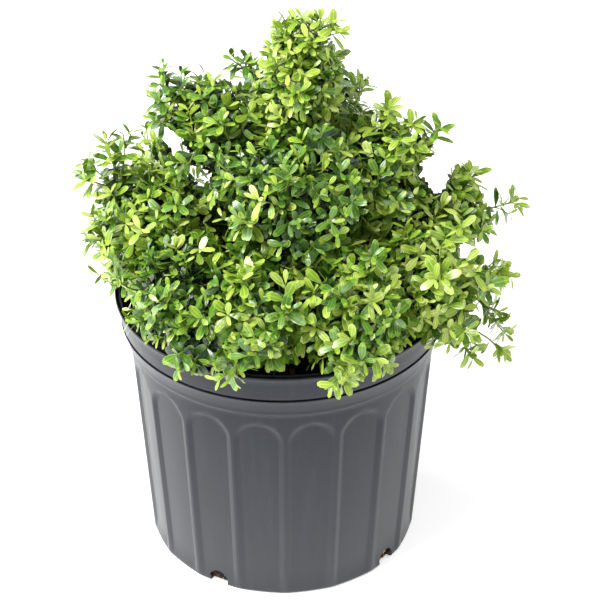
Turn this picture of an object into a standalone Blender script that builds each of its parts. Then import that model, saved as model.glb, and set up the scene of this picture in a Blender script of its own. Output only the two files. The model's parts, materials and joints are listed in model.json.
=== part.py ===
"""A potted Japanese holly: a fluted nursery pot, its potting mix and a small-leaved, many-branched shrub.

Metres, +Z up. The origin is the centre of the pot's flat underside, and the plant's front faces -Y.
"""
import math
import random

import bmesh
import bpy
from mathutils import Vector

# Gap between solids that touch on the real plant
CLEARANCE = 0.0003

# Pot: a blow-moulded nursery container, 280 mm across its lip
POT_HEIGHT = 0.240
BASE_RADIUS = 0.1157
WALL_TOP_RADIUS = 0.1285
WALL_TOP_Z = 0.1945
LEDGE_RADIUS = 0.1314
LEDGE_Z = 0.1979
GROOVE_RADIUS = 0.1341
GROOVE_Z = 0.2102
COLLAR_RADIUS = 0.1372
LIP_RADIUS = 0.1400
LIP_DEPTH = 0.0060
LIP_EDGE = 0.0012
WALL_THICKNESS = 0.0027
FLOOR_THICKNESS = 0.0026
EDGE_CHAMFER = 0.0030
INSIDE_DROP = 0.0010

# Arched panels pressed into the pot's wall between narrow ribs
PANEL_COUNT = 18
FIRST_RIB_ANGLE = math.radians(1.5)
PANEL_RECESS = 0.0012
PANEL_FOOT_Z = 0.0070
ARCH_TOP_Z = 0.1885
RIB_HALF_ANGLE = math.radians(2.0)
PANEL_PLACES = (-1.0, -0.6, 0.6, 1.0)
ARCH_FULLNESS = 0.96

# Drain holes that straddle the bottom edge, in four of the panels
DRAIN_ANGLES = [math.radians(a) for a in (-28.5, 51.5, 151.5, 231.5)]
DRAIN_RADIUS = 0.0090
DRAIN_HEIGHT = 0.0040
DRAIN_REACH = 0.0180
DRAIN_SIDES = 14

# Potting mix
MIX_TOP_Z = 0.2080
MIX_DOME = 0.0040
MIX_SHOULDER = 0.80
MIX_CROWN_RADIUS = 0.032
MIX_SIDES = 36

# Trunk: a leader with a root flare, which leans to the right and sways a little
TRUNK_FOOT = Vector((0.004, -0.004))
TRUNK_TIP = Vector((0.018, 0.010))
TRUNK_TIP_Z = 0.378
TRUNK_SWAY = 0.004
TRUNK_SWAY_ACROSS = -0.6
TRUNK_RADIUS = 0.0078
TRUNK_TIP_RADIUS = 0.0026
FLARE_RADIUS = 0.0135
FLARE_HEIGHT = 0.005
TRUNK_SIDES = 12
TRUNK_RINGS = 12
TRUNK_RING_CROWDING = 1.35

# Boughs
BOUGH_SIDES = 6
BOUGH_RINGS = 5
BOUGH_BASE_RADIUS = 0.0034
BOUGH_TIP_RADIUS = 0.0017
BOUGH_START_PULL = 0.30
BOUGH_END_PULL = 0.45
BOUGH_RISE = 0.25
BOUGH_STEPS = 12

# Foliage masses: name, centre, half sizes, height of the bough's foot on the trunk, seed
MASSES = [
    ("top", (0.014, 0.010, 0.422), (0.036, 0.044, 0.062), None, 1),
    ("upper_left", (-0.054, 0.032, 0.360), (0.063, 0.064, 0.060), 0.296, 2),
    ("upper_front", (0.012, -0.046, 0.350), (0.070, 0.064, 0.068), 0.272, 3),
    ("upper_right", (0.074, 0.006, 0.342), (0.064, 0.064, 0.060), 0.284, 4),
    ("upper_back", (0.012, 0.076, 0.358), (0.066, 0.064, 0.064), 0.288, 5),
    ("left", (-0.105, 0.004, 0.294), (0.060, 0.066, 0.062), 0.248, 6),
    ("left_front", (-0.074, -0.074, 0.278), (0.054, 0.062, 0.050), 0.232, 7),
    ("front_left", (-0.020, -0.098, 0.280), (0.058, 0.062, 0.058), 0.256, 8),
    ("front_right", (0.052, -0.096, 0.278), (0.062, 0.064, 0.058), 0.240, 9),
    ("right_front", (0.112, -0.052, 0.278), (0.064, 0.066, 0.056), 0.260, 10),
    ("right", (0.126, 0.020, 0.290), (0.050, 0.060, 0.062), 0.236, 11),
    ("right_back", (0.076, 0.080, 0.294), (0.064, 0.064, 0.058), 0.252, 12),
    ("back", (-0.004, 0.112, 0.300), (0.066, 0.064, 0.064), 0.234, 13),
    ("left_back", (-0.080, 0.076, 0.292), (0.064, 0.064, 0.056), 0.262, 14),
]

# Long shoots that stand out of the crown: mass, and the point that the shoot's last leaf reaches
LONG_SHOOTS = [
    ("top", (0.012, 0.010, 0.489)),
    ("top", (0.045, 0.006, 0.479)),
    ("top", (-0.008, 0.000, 0.474)),
    ("upper_left", (-0.101, 0.030, 0.426)),
    ("upper_left", (-0.109, 0.022, 0.404)),
    ("upper_back", (-0.040, 0.060, 0.430)),
    ("upper_back", (0.073, 0.042, 0.410)),
    ("upper_right", (0.135, 0.002, 0.389)),
    ("left", (-0.170, 0.000, 0.346)),
    ("left", (-0.140, 0.012, 0.371)),
    ("left", (-0.158, -0.018, 0.252)),
    ("right", (0.202, 0.020, 0.314)),
    ("right", (0.150, 0.028, 0.340)),
    ("right", (0.195, 0.000, 0.264)),
    ("right_front", (0.190, -0.058, 0.227)),
    ("right_front", (0.160, -0.078, 0.212)),
    ("front_right", (0.046, -0.154, 0.227)),
    ("front_right", (0.081, -0.150, 0.250)),
    ("front_left", (-0.043, -0.151, 0.233)),
    ("left_front", (-0.073, -0.139, 0.238)),
    ("back", (0.010, 0.182, 0.312)),
    ("right_back", (0.130, 0.140, 0.290)),
    ("left_back", (-0.136, 0.124, 0.296)),
]

# Open gaps between the boughs, where the sky shows: front end, back end and radius of each
GAPS = [
    ((-0.091, -0.030, 0.394), (-0.104, 0.150, 0.298), 0.013),
    ((-0.070, 0.000, 0.345), (-0.078, 0.130, 0.273), 0.005),
    ((0.121, -0.030, 0.363), (0.134, 0.150, 0.264), 0.013),
    ((0.150, -0.030, 0.289), (0.162, 0.100, 0.210), 0.006),
]

# How a mass grows: a stem, a dense lumpy core, twigs, and leaves set round each twig
STEM_RADIUS = 0.0017
STEM_SIDES = 6
STEM_START = 0.012
STEM_PAST_CENTRE = 0.15
STEM_ENTRY = 0.62
CORE_SHARE = 0.56
CORE_LUMPS = 0.20
CORE_FOOT_Z = POT_HEIGHT + 0.004
CORE_STEP = 0.05
TWIGS_PER_MASS = 11
TWIG_RADIUS = 0.0013
TWIG_TIP_RADIUS = 0.0007
TWIG_RINGS = 3
TWIG_BEND = 0.55
TWIG_SAG = 0.10
TWIG_SHARES = (1.0, 0.85, 0.7)
TWIG_SAMPLES = 8
LEAVES_PER_TWIG = 3
LEAF_TRIES = 7
LEAF_FIRST = 0.56
LEAF_RUN = 0.40
LEAF_AT_TIP = 0.97
LEAF_LENGTH = 0.032
LEAF_WIDTH = 0.0175
LEAF_WIDEST = 0.58
LEAF_THICKNESS = 0.0014
LEAF_ROOT_SINK = 0.0009
LEAF_SPREAD = math.radians(52)
LEAF_TIP_SPREAD = 0.15
LEAF_APART = 0.0040
GOLDEN_ANGLE = math.pi * (3 - math.sqrt(5))

# Room that twigs, leaves and cores leave to what isn't theirs
WALL_ROOM = 0.0005
POT_ROOM = 0.0022
LIMB_ROOM = 0.0030
CORE_ROOM = 0.0040
NEAR_LIMB = 0.14
CROWN_SLACK = 1.06


def linear(hex_colour):
    """An sRGB hex colour as linear red, green, blue and alpha."""
    channels = [int(hex_colour[i:i + 2], 16) / 255 for i in (0, 2, 4)]
    return [c / 12.92 if c <= 0.04045 else ((c + 0.055) / 1.055) ** 2.4 for c in channels] + [1.0]


def make_material(name, hex_colour, roughness):
    """A plain Principled material."""
    material = bpy.data.materials.new(name)
    material.use_nodes = True
    shader = material.node_tree.nodes["Principled BSDF"]
    shader.inputs["Base Color"].default_value = linear(hex_colour)
    shader.inputs["Roughness"].default_value = roughness
    shader.inputs["Metallic"].default_value = 0.0
    return material


def new_object(name, verts, faces, material=None, collection=None):
    """An object from points and faces, with its faces turned outwards."""
    mesh = bpy.data.meshes.new(name)
    mesh.from_pydata([tuple(v) for v in verts], [], faces)
    bm = bmesh.new()
    bm.from_mesh(mesh)
    bmesh.ops.recalc_face_normals(bm, faces=bm.faces)
    bm.to_mesh(mesh)
    bm.free()
    if material:
        mesh.materials.append(material)
    made = bpy.data.objects.new(name, mesh)
    (collection or bpy.context.scene.collection).objects.link(made)
    return made


def split_into_triangles(made):
    """Split the faces, so that the sides of a bent limb are flat."""
    bm = bmesh.new()
    bm.from_mesh(made.data)
    bmesh.ops.triangulate(bm, faces=bm.faces)
    bm.to_mesh(made.data)
    bm.free()


def shade_round(made):
    """Smooth shading that keeps the sharp edges."""
    made.data.shade_smooth()
    made.data.set_sharp_from_angle(angle=math.radians(35))


def skin_rings(rings):
    """Faces between rings of equal length, with a flat face on the first and the last."""
    count = len(rings[0])
    verts = [point for ring in rings for point in ring]
    faces = [tuple(reversed(range(count)))]
    for i in range(len(rings) - 1):
        for j in range(count):
            a = i * count + j
            b = i * count + (j + 1) % count
            faces.append((a, b, b + count, a + count))
    faces.append(tuple(range((len(rings) - 1) * count, len(rings) * count)))
    return verts, faces


def bezier(points, t):
    """A point on the Bezier curve of any number of control points."""
    points = list(points)
    while len(points) > 1:
        points = [a.lerp(b, t) for a, b in zip(points, points[1:])]
    return points[0]


def tube_rings(controls, ring_count, radius_start, radius_end, sides):
    """Rings square to a Bezier path, tapering from its first point to its last."""
    rings = []
    side = None
    for i in range(ring_count):
        t = i / (ring_count - 1)
        before = bezier(controls, max(0.0, t - 0.001))
        after = bezier(controls, min(1.0, t + 0.001))
        along = (after - before).normalized()
        if side is None:
            side = along.orthogonal().normalized()
        side = (side - along * side.dot(along)).normalized()
        other = along.cross(side)
        radius = radius_start + (radius_end - radius_start) * t
        centre = bezier(controls, t)
        angles = [2 * math.pi * k / sides for k in range(sides)]
        rings.append([centre + (side * math.cos(a) + other * math.sin(a)) * radius for a in angles])
    return rings


def join_with(target, collection, operation, solver):
    """Apply one Boolean with a collection, then remove the collection's objects."""
    boolean = target.modifiers.new("boolean", "BOOLEAN")
    boolean.operation = operation
    boolean.solver = solver
    boolean.operand_type = "COLLECTION"
    boolean.collection = collection
    depsgraph = bpy.context.evaluated_depsgraph_get()
    joined = bpy.data.meshes.new_from_object(target.evaluated_get(depsgraph))
    target.modifiers.remove(boolean)
    target.data = joined
    for piece in list(collection.objects):
        bpy.data.objects.remove(piece)
    bpy.data.collections.remove(collection)


# Pot and potting mix

def wall_radius(z):
    """Radius of the pot's ribbed wall, which flares upwards."""
    return BASE_RADIUS + (WALL_TOP_RADIUS - BASE_RADIUS) * z / WALL_TOP_Z


def around(radius, angle, z):
    """A point round the pot's axis, with angle zero at the front."""
    return Vector((radius * math.sin(angle), -radius * math.cos(angle), z))


def pot_columns():
    """Angle of each column of the pot's wall, and its place across its panel: -1 to 1, or None on a rib."""
    pitch = 2 * math.pi / PANEL_COUNT
    panel_half = pitch / 2 - RIB_HALF_ANGLE
    columns = []
    for k in range(PANEL_COUNT):
        rib = FIRST_RIB_ANGLE + k * pitch
        columns.append((rib, None))
        for place in PANEL_PLACES:
            columns.append((rib + pitch / 2 + place * panel_half, place))
    return columns


def inside_profile():
    """Radius and height of the pot's inside, from its floor up to the foot of the collar."""
    return [(wall_radius(FLOOR_THICKNESS) - WALL_THICKNESS, FLOOR_THICKNESS),
            (WALL_TOP_RADIUS - WALL_THICKNESS, WALL_TOP_Z - INSIDE_DROP),
            (GROOVE_RADIUS - WALL_THICKNESS, GROOVE_Z - INSIDE_DROP)]


def pot_rings():
    """The pot's outside from its underside up, then its inside down to the floor."""
    columns = pot_columns()
    arch_radius = math.pi * wall_radius(ARCH_TOP_Z) / PANEL_COUNT
    spring_z = ARCH_TOP_Z - arch_radius

    def even(radius, z):
        return [around(radius, angle, z) for angle, _ in columns]

    def recessed(angle, place, z, recess):
        return around(wall_radius(z) - (0.0 if place is None else recess), angle, z)

    def arch_row(rise, recess):
        row = []
        for angle, place in columns:
            height = 0.0 if place is None else math.sqrt(1.0 - (ARCH_FULLNESS * place) ** 2)
            row.append(recessed(angle, place, spring_z + arch_radius * height + rise, recess))
        return row

    lip_foot_z = POT_HEIGHT - LIP_DEPTH
    outside = [
        even(BASE_RADIUS - EDGE_CHAMFER, 0.0),
        even(wall_radius(EDGE_CHAMFER), EDGE_CHAMFER),
        [recessed(angle, place, PANEL_FOOT_Z, PANEL_RECESS) for angle, place in columns],
        arch_row(-PANEL_RECESS, PANEL_RECESS),
        arch_row(0.0, 0.0),
        even(WALL_TOP_RADIUS, WALL_TOP_Z),
        even(LEDGE_RADIUS, LEDGE_Z),
        even(GROOVE_RADIUS, GROOVE_Z),
        even(COLLAR_RADIUS, lip_foot_z),
        even(LIP_RADIUS, lip_foot_z + LIP_EDGE),
        even(LIP_RADIUS, POT_HEIGHT),
        even(LIP_RADIUS - WALL_THICKNESS, POT_HEIGHT),
    ]
    return outside + [even(radius, z) for radius, z in reversed(inside_profile())]


def make_pot(material):
    """The pot: one blow-moulded shell, with its drain holes cut through the wall and the floor's edge."""
    pot = new_object("pot", *skin_rings(pot_rings()), material)
    cutters = bpy.data.collections.new("drain_cutters")
    bpy.context.scene.collection.children.link(cutters)
    for index, angle in enumerate(DRAIN_ANGLES):
        controls = [around(BASE_RADIUS - DRAIN_REACH, angle, DRAIN_HEIGHT),
                    around(BASE_RADIUS + DRAIN_REACH, angle, DRAIN_HEIGHT)]
        rings = tube_rings(controls, 2, DRAIN_RADIUS, DRAIN_RADIUS, DRAIN_SIDES)
        cutter = new_object(f"drain_cutter_{index}", *skin_rings(rings), None, cutters)
        cutter.hide_render = True
        cutter.display_type = "WIRE"
    join_with(pot, cutters, "DIFFERENCE", "EXACT")
    shade_round(pot)


def mix_radius(z):
    """Radius of the potting mix against the pot's inside, clear of the flats between the pot's columns."""
    low, high = [pair for pair in zip(inside_profile(), inside_profile()[1:]) if pair[0][1] <= z][-1]
    inside = low[0] + (high[0] - low[0]) * (z - low[1]) / (high[1] - low[1])
    widest_flat = 2 * math.pi / PANEL_COUNT * PANEL_PLACES[-2]
    return inside * math.cos(widest_flat / 2) - CLEARANCE


def make_potting_mix(material):
    """The potting mix that fills the pot up to the foot of its collar, domed a little round the trunk."""
    wall_top_z = inside_profile()[1][1]
    rim_z = MIX_TOP_Z - MIX_DOME
    profile = [(mix_radius(z), z) for z in (FLOOR_THICKNESS + CLEARANCE, wall_top_z, rim_z)]
    profile.append((mix_radius(rim_z) * MIX_SHOULDER, MIX_TOP_Z - MIX_DOME * 0.4))
    profile.append((MIX_CROWN_RADIUS, MIX_TOP_Z))
    angles = [2 * math.pi * k / MIX_SIDES for k in range(MIX_SIDES)]
    rings = [[around(radius, angle, z) for angle in angles] for radius, z in profile]
    shade_round(new_object("potting_mix", *skin_rings(rings), material))


# Trunk and boughs

def trunk_centre(z):
    """Middle of the trunk at a height."""
    share = (z - MIX_TOP_Z) / (TRUNK_TIP_Z - MIX_TOP_Z)
    middle = TRUNK_FOOT.lerp(TRUNK_TIP, share)
    sway = TRUNK_SWAY * math.sin(2 * math.pi * share)
    return Vector((middle.x + sway, middle.y + sway * TRUNK_SWAY_ACROSS, z))


def trunk_radius(z):
    """Radius of the trunk: an even taper, with the root flare at its foot."""
    height = z - MIX_TOP_Z
    share = height / (TRUNK_TIP_Z - MIX_TOP_Z)
    taper = TRUNK_RADIUS + (TRUNK_TIP_RADIUS - TRUNK_RADIUS) * share
    return taper + (FLARE_RADIUS - TRUNK_RADIUS) * math.exp(-height / FLARE_HEIGHT)


def trunk_heights():
    """Heights of the trunk's rings, closer together in the flare."""
    foot = MIX_TOP_Z + CLEARANCE
    shares = [(i / (TRUNK_RINGS - 1)) ** TRUNK_RING_CROWDING for i in range(TRUNK_RINGS)]
    return [foot + (TRUNK_TIP_Z - foot) * share for share in shares]


def trunk_corner(z, k):
    """One corner of the trunk's outline at a height."""
    angle = 2 * math.pi * k / TRUNK_SIDES
    return trunk_centre(z) + Vector((math.cos(angle), math.sin(angle), 0)) * trunk_radius(z)


def make_trunk(material):
    """The trunk, from its flat cut on the potting mix to its tip in the crown."""
    rings = [[trunk_corner(z, k) for k in range(TRUNK_SIDES)] for z in trunk_heights()]
    shade_round(new_object("trunk", *skin_rings(rings), material))


def trunk_seat(height, toward):
    """Middle and outward normal of the flat on the trunk, at a height, that best faces a point."""
    heights = trunk_heights()
    low = max(i for i in range(len(heights) - 1) if heights[i] <= height)
    flats = []
    for k in range(TRUNK_SIDES):
        corners = [trunk_corner(heights[low], k), trunk_corner(heights[low], k + 1),
                   trunk_corner(heights[low + 1], k + 1), trunk_corner(heights[low + 1], k)]
        normal = (corners[1] - corners[0]).cross(corners[3] - corners[0]).normalized()
        middle = sum(corners, Vector()) / 4
        flats.append((normal.dot((toward - middle).normalized()), middle, normal))
    _, middle, normal = max(flats, key=lambda flat: flat[0])
    return middle, normal


def mass_entry(centre, half_sizes, height):
    """Where the bough ends and the mass's stem starts, and their common direction."""
    if height is None:
        return trunk_centre(TRUNK_TIP_Z), Vector((0, 0, 1))
    outward = (centre - trunk_centre(height)).normalized()
    direction = (outward + Vector((0, 0, BOUGH_RISE))).normalized()
    reach = sum(abs(d) * h for d, h in zip(direction, half_sizes))
    return centre - direction * (reach * STEM_ENTRY), direction


def bough_controls(centre, half_sizes, height):
    """Control points of a bough: square out of a flat on the trunk, then rising into its mass."""
    entry, direction = mass_entry(centre, half_sizes, height)
    seat, normal = trunk_seat(height, centre)
    start = seat + normal * CLEARANCE
    length = (entry - start).length
    first_pull = start + normal * (length * BOUGH_START_PULL)
    last_pull = entry - direction * (length * BOUGH_END_PULL)
    return [start, first_pull, last_pull, entry]


def limb_lengths():
    """The trunk and every bough as short straight lengths with their radii, which foliage keeps clear of."""
    lengths = []
    for low, high in zip(trunk_heights(), trunk_heights()[1:]):
        lengths.append((trunk_centre(low), trunk_centre(high), trunk_radius(low)))
    for _, centre, half_sizes, height, _ in MASSES:
        if height is None:
            continue
        controls = bough_controls(Vector(centre), half_sizes, height)
        points = [bezier(controls, i / BOUGH_STEPS) for i in range(BOUGH_STEPS + 1)]
        for i in range(BOUGH_STEPS):
            radius = BOUGH_BASE_RADIUS + (BOUGH_TIP_RADIUS - BOUGH_BASE_RADIUS) * i / BOUGH_STEPS
            lengths.append((points[i], points[i + 1], radius))
    return lengths


def make_bough(name, controls, material):
    """One bough: a single tapering limb with a flat end on the trunk and one on its mass's stem."""
    rings = tube_rings(controls, BOUGH_RINGS, BOUGH_BASE_RADIUS, BOUGH_TIP_RADIUS, BOUGH_SIDES)
    bough = new_object(f"bough_{name}", *skin_rings(rings), material)
    split_into_triangles(bough)
    shade_round(bough)


# Masses of foliage

class Space:
    """The space that one mass keeps to: its side of flat walls to its neighbours, clear of limbs and pot."""

    def __init__(self, name, centre, half_sizes, limbs):
        self.centre = centre
        self.half_sizes = half_sizes
        self.limbs = [limb for limb in limbs if (limb[0] - centre).length < NEAR_LIMB]
        self.taken = []
        self.walls = []
        own = sum(half_sizes) / 3
        for other, place, sizes, _, _ in MASSES:
            if other == name:
                continue
            apart = Vector(place) - centre
            size = sum(sizes) / 3
            distance = (apart.length_squared + own ** 2 - size ** 2) / (2 * apart.length)
            self.walls.append((apart.normalized(), distance - WALL_ROOM))

    def inside_walls(self, point):
        """Whether a point is on this mass's side of every wall."""
        offset = point - self.centre
        return all(offset.dot(normal) < distance for normal, distance in self.walls)

    def inside_outline(self, point):
        """Whether a point is inside the mass's rounded outline."""
        offset = point - self.centre
        return sum((offset[i] / self.half_sizes[i]) ** 2 for i in range(3)) <= CROWN_SLACK ** 2

    def clear_of_limbs(self, point, room):
        """Whether a point is away from the trunk and the boughs."""
        for start, end, radius in self.limbs:
            along = end - start
            share = max(0.0, min(1.0, (point - start).dot(along) / along.length_squared))
            if (point - start - along * share).length < radius + room:
                return False
        return True

    def free(self, point, room):
        """Whether a twig or a leaf may pass through a point."""
        return (self.inside_walls(point) and clear_of_pot(point) and clear_of_gaps(point)
                and self.clear_of_limbs(point, room))


def clear_of_pot(point):
    """Whether a point is over the rim, outside the pot, or inside it and above the potting mix."""
    radius = math.hypot(point.x, point.y)
    if point.z > POT_HEIGHT + POT_ROOM or radius > LIP_RADIUS + POT_ROOM:
        return True
    return radius < GROOVE_RADIUS - WALL_THICKNESS - POT_ROOM and point.z > MIX_TOP_Z + POT_ROOM


def clear_of_gaps(point):
    """Whether a point is outside every open gap of the crown."""
    for front, back, radius in GAPS:
        along = Vector(back) - Vector(front)
        offset = point - Vector(front)
        share = max(0.0, min(1.0, offset.dot(along) / along.length_squared))
        if (offset - along * share).length < radius:
            return False
    return True


def leaf_shape(root, direction, normal, length):
    """A closed leaf: four points round its edge, a flat underside and a raised middle."""
    normal = (normal - direction * normal.dot(direction)).normalized()
    side = direction.cross(normal)
    start = root - direction * LEAF_ROOT_SINK
    widest = root + direction * (length * LEAF_WIDEST)
    left = widest + side * (LEAF_WIDTH / 2)
    right = widest - side * (LEAF_WIDTH / 2)
    tip = root + direction * length
    crown = root + direction * (length / 2) + normal * LEAF_THICKNESS
    faces = [(0, 1, 4), (1, 2, 4), (2, 3, 4), (3, 0, 4), (3, 2, 1, 0)]
    return [start, left, tip, right, crown], faces


def spread_directions(count, seed):
    """Directions spread evenly all round, turned by the seed."""
    turn = random.Random(seed).uniform(0, 2 * math.pi)
    for k in range(count):
        rise = 1 - 2 * (k + 0.5) / count
        flat = math.sqrt(1 - rise * rise)
        angle = k * GOLDEN_ANGLE + turn
        yield Vector((flat * math.cos(angle), flat * math.sin(angle), rise))


def twig_targets(space, name, seed):
    """Points that the twigs reach: the long shoots' tips, then points spread over the mass's outline."""
    targets = [(Vector(tip), True) for owner, tip in LONG_SHOOTS if owner == name]
    for direction in spread_directions(TWIGS_PER_MASS - len(targets), seed):
        for share in TWIG_SHARES:
            point = space.centre + Vector([direction[i] * space.half_sizes[i] * share for i in range(3)])
            if space.free(point, CORE_ROOM):
                targets.append((point, False))
                break
    return targets


def twig_controls(stem, target):
    """A twig leaves the stem, goes out with a slight sag, and turns upwards to its tip."""
    middle = (stem[0] + stem[1]) / 2
    axis = stem[1] - stem[0]
    share = 0.5 + 0.5 * max(-0.6, min(1.0, (target - middle).dot(axis) / axis.length_squared))
    start = stem[0].lerp(stem[1], share)
    reach = target - start
    return [start, start + reach * TWIG_BEND - Vector((0, 0, TWIG_SAG * reach.length)), target]


def make_core(space, entry, direction, chance, material, pieces):
    """The dense middle of a mass: a lumpy ball, held inside its walls and clear of limbs and pot."""
    bm = bmesh.new()
    bmesh.ops.create_icosphere(bm, subdivisions=2, radius=1.0)
    for vert in bm.verts:
        lump = CORE_SHARE * (1 + chance.uniform(-CORE_LUMPS, CORE_LUMPS))
        ray = Vector([vert.co[i] * space.half_sizes[i] * lump for i in range(3)])
        share = 1.0
        while share > 3 * CORE_STEP:
            point = space.centre + ray * share
            held = space.inside_walls(point + ray.normalized() * WALL_ROOM) and point.z > CORE_FOOT_Z
            past_entry = (point - entry).dot(direction) > LIMB_ROOM
            if held and past_entry and clear_of_gaps(point) and space.clear_of_limbs(point, CORE_ROOM):
                break
            share -= CORE_STEP
        vert.co = space.centre + ray * share
    mesh = bpy.data.meshes.new("core")
    bm.to_mesh(mesh)
    bm.free()
    mesh.materials.append(material)
    pieces.objects.link(bpy.data.objects.new("core", mesh))


def grow_twig(space, stem, target, is_long, chance, material, pieces):
    """A three-sided twig to its target, with leaves set round it by the golden angle and one at its tip."""
    outward = (target - space.centre).normalized()
    controls = twig_controls(stem, target - outward * (LEAF_LENGTH * 0.8))
    rings = tube_rings(controls, TWIG_RINGS, TWIG_RADIUS, TWIG_TIP_RADIUS, 3)
    samples = [bezier(controls, i / TWIG_SAMPLES) for i in range(TWIG_SAMPLES + 1)]
    inside = all(space.inside_walls(point) for ring in rings for point in ring)
    if not (inside and all(space.free(point, LIMB_ROOM) for point in samples)):
        return
    new_object("twig", *skin_rings(rings), material, pieces)
    turn = chance.uniform(0, 2 * math.pi)
    for k in range(LEAVES_PER_TWIG + 1):
        at_tip = k == LEAVES_PER_TWIG
        share = LEAF_AT_TIP if at_tip else LEAF_FIRST + LEAF_RUN * (k + 0.5) / LEAVES_PER_TWIG
        root = bezier(controls, share)
        along = (bezier(controls, min(1.0, share + 0.02)) - bezier(controls, share - 0.02)).normalized()
        side = along.orthogonal().normalized()
        other = along.cross(side)
        length = LEAF_LENGTH * chance.uniform(0.85, 1.0)
        for attempt in range(LEAF_TRIES):
            angle = turn + (k + 2 * attempt) * GOLDEN_ANGLE
            away = side * math.cos(angle) + other * math.sin(angle)
            spread = LEAF_TIP_SPREAD * (1 + attempt) if at_tip else LEAF_SPREAD * chance.uniform(0.8, 1.25)
            aim = (along * math.cos(spread) + away * math.sin(spread)).normalized()
            normal = Vector((0, 0, 1)) + outward * 0.8 + away * 0.2
            if add_leaf(space, root, aim, normal, length, is_long, material, pieces):
                break


def add_leaf(space, root, aim, normal, length, is_long, material, pieces):
    """One leaf, refused if it would leave the mass's space or come near a limb, the pot or another leaf."""
    verts, faces = leaf_shape(root, aim, normal, length)
    edges = [(verts[i] + verts[j]) / 2 for i, j in ((0, 1), (3, 0), (0, 4), (1, 2), (2, 3), (4, 2))]
    outer = verts[1:] + edges[3:]
    if any((point - other).length < LEAF_APART for point in outer for other in space.taken):
        return False
    if not all(space.free(point, LIMB_ROOM) for point in verts + edges):
        return False
    if not is_long and not all(space.inside_outline(point) for point in verts):
        return False
    space.taken += outer
    new_object("leaf", verts, faces, material, pieces)
    return True


def keep_outer_shell(body):
    """Keep a fused mass's one outer skin: sealed hollows are filled and loose scraps dropped."""
    bm = bmesh.new()
    bm.from_mesh(body.data)
    unseen = set(bm.verts)
    groups = []
    while unseen:
        group = set()
        waiting = [unseen.pop()]
        while waiting:
            vert = waiting.pop()
            group.add(vert)
            for edge in vert.link_edges:
                other = edge.other_vert(vert)
                if other in unseen:
                    unseen.discard(other)
                    waiting.append(other)
        groups.append(group)
    largest = max(groups, key=len)
    bmesh.ops.delete(bm, geom=[vert for vert in bm.verts if vert not in largest], context="VERTS")
    bm.to_mesh(body.data)
    bm.free()


def make_mass(name, centre, half_sizes, height, seed, limbs, material):
    """One mass: a stem, its core, the twigs that branch from the stem, and the leaves on them, fused."""
    chance = random.Random(seed * 101)
    space = Space(name, centre, half_sizes, limbs)
    entry, direction = mass_entry(centre, half_sizes, height)
    foot = entry + direction * CLEARANCE
    stem = (foot, centre + (centre - foot) * STEM_PAST_CENTRE)
    controls = [foot, foot + direction * STEM_START, stem[1]]
    rings = tube_rings(controls, 4, STEM_RADIUS, TWIG_RADIUS, STEM_SIDES)
    body = new_object(f"foliage_{name}", *skin_rings(rings), material)
    pieces = bpy.data.collections.new(f"pieces_{name}")
    bpy.context.scene.collection.children.link(pieces)
    make_core(space, entry, direction, chance, material, pieces)
    for target, is_long in twig_targets(space, name, seed):
        grow_twig(space, stem, target, is_long, chance, material, pieces)
    join_with(body, pieces, "UNION", "MANIFOLD")
    keep_outer_shell(body)


def main():
    for old in list(bpy.data.objects):
        bpy.data.objects.remove(old)
    bark = make_material("holly_bark", "7a6a58", 0.85)
    leaf = make_material("holly_leaf", "5c8a2e", 0.40)
    make_pot(make_material("pot_plastic", "45474a", 0.45))
    make_potting_mix(make_material("bark_potting_mix", "3a2c22", 0.95))
    make_trunk(bark)
    limbs = limb_lengths()
    for name, place, half_sizes, height, seed in MASSES:
        centre = Vector(place)
        if height is not None:
            make_bough(name, bough_controls(centre, half_sizes, height), bark)
        make_mass(name, centre, half_sizes, height, seed, limbs, leaf)
    holder = bpy.data.objects.new("potted_holly", None)
    for made in list(bpy.context.scene.collection.objects):
        made.parent = holder
    bpy.context.scene.collection.objects.link(holder)


main()
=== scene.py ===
"""The looks of a potted Japanese holly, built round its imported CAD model.

Metres, +Z up, in the CAD model's frame: the pot's flat underside is at z 0 and the front faces -Y. Tables
that say so are in millimetres, and metres() turns their rows to metres.
"""

import json
import math
import random

import bmesh
import bpy
import numpy as np
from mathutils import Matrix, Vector, noise

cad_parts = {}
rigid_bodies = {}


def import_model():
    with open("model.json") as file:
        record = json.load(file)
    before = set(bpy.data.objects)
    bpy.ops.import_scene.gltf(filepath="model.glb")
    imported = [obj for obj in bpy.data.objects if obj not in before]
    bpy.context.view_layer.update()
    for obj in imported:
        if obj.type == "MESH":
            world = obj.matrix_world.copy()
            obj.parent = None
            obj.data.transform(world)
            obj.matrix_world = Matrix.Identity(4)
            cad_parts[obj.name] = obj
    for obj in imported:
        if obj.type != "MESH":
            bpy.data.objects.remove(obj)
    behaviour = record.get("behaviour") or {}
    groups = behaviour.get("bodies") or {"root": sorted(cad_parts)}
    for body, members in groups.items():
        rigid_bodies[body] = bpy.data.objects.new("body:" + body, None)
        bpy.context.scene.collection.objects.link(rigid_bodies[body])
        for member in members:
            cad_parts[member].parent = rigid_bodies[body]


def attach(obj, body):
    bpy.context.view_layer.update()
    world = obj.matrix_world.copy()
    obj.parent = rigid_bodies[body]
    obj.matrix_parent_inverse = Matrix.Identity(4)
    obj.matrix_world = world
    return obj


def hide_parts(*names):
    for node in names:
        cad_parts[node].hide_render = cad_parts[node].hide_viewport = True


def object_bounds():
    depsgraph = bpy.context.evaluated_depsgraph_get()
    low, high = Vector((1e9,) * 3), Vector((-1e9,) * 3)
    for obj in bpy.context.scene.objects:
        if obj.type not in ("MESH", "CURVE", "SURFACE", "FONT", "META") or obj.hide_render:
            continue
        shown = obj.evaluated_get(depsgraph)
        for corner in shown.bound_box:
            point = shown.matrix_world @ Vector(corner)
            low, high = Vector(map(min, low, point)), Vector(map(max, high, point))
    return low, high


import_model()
cad_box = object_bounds()

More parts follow.
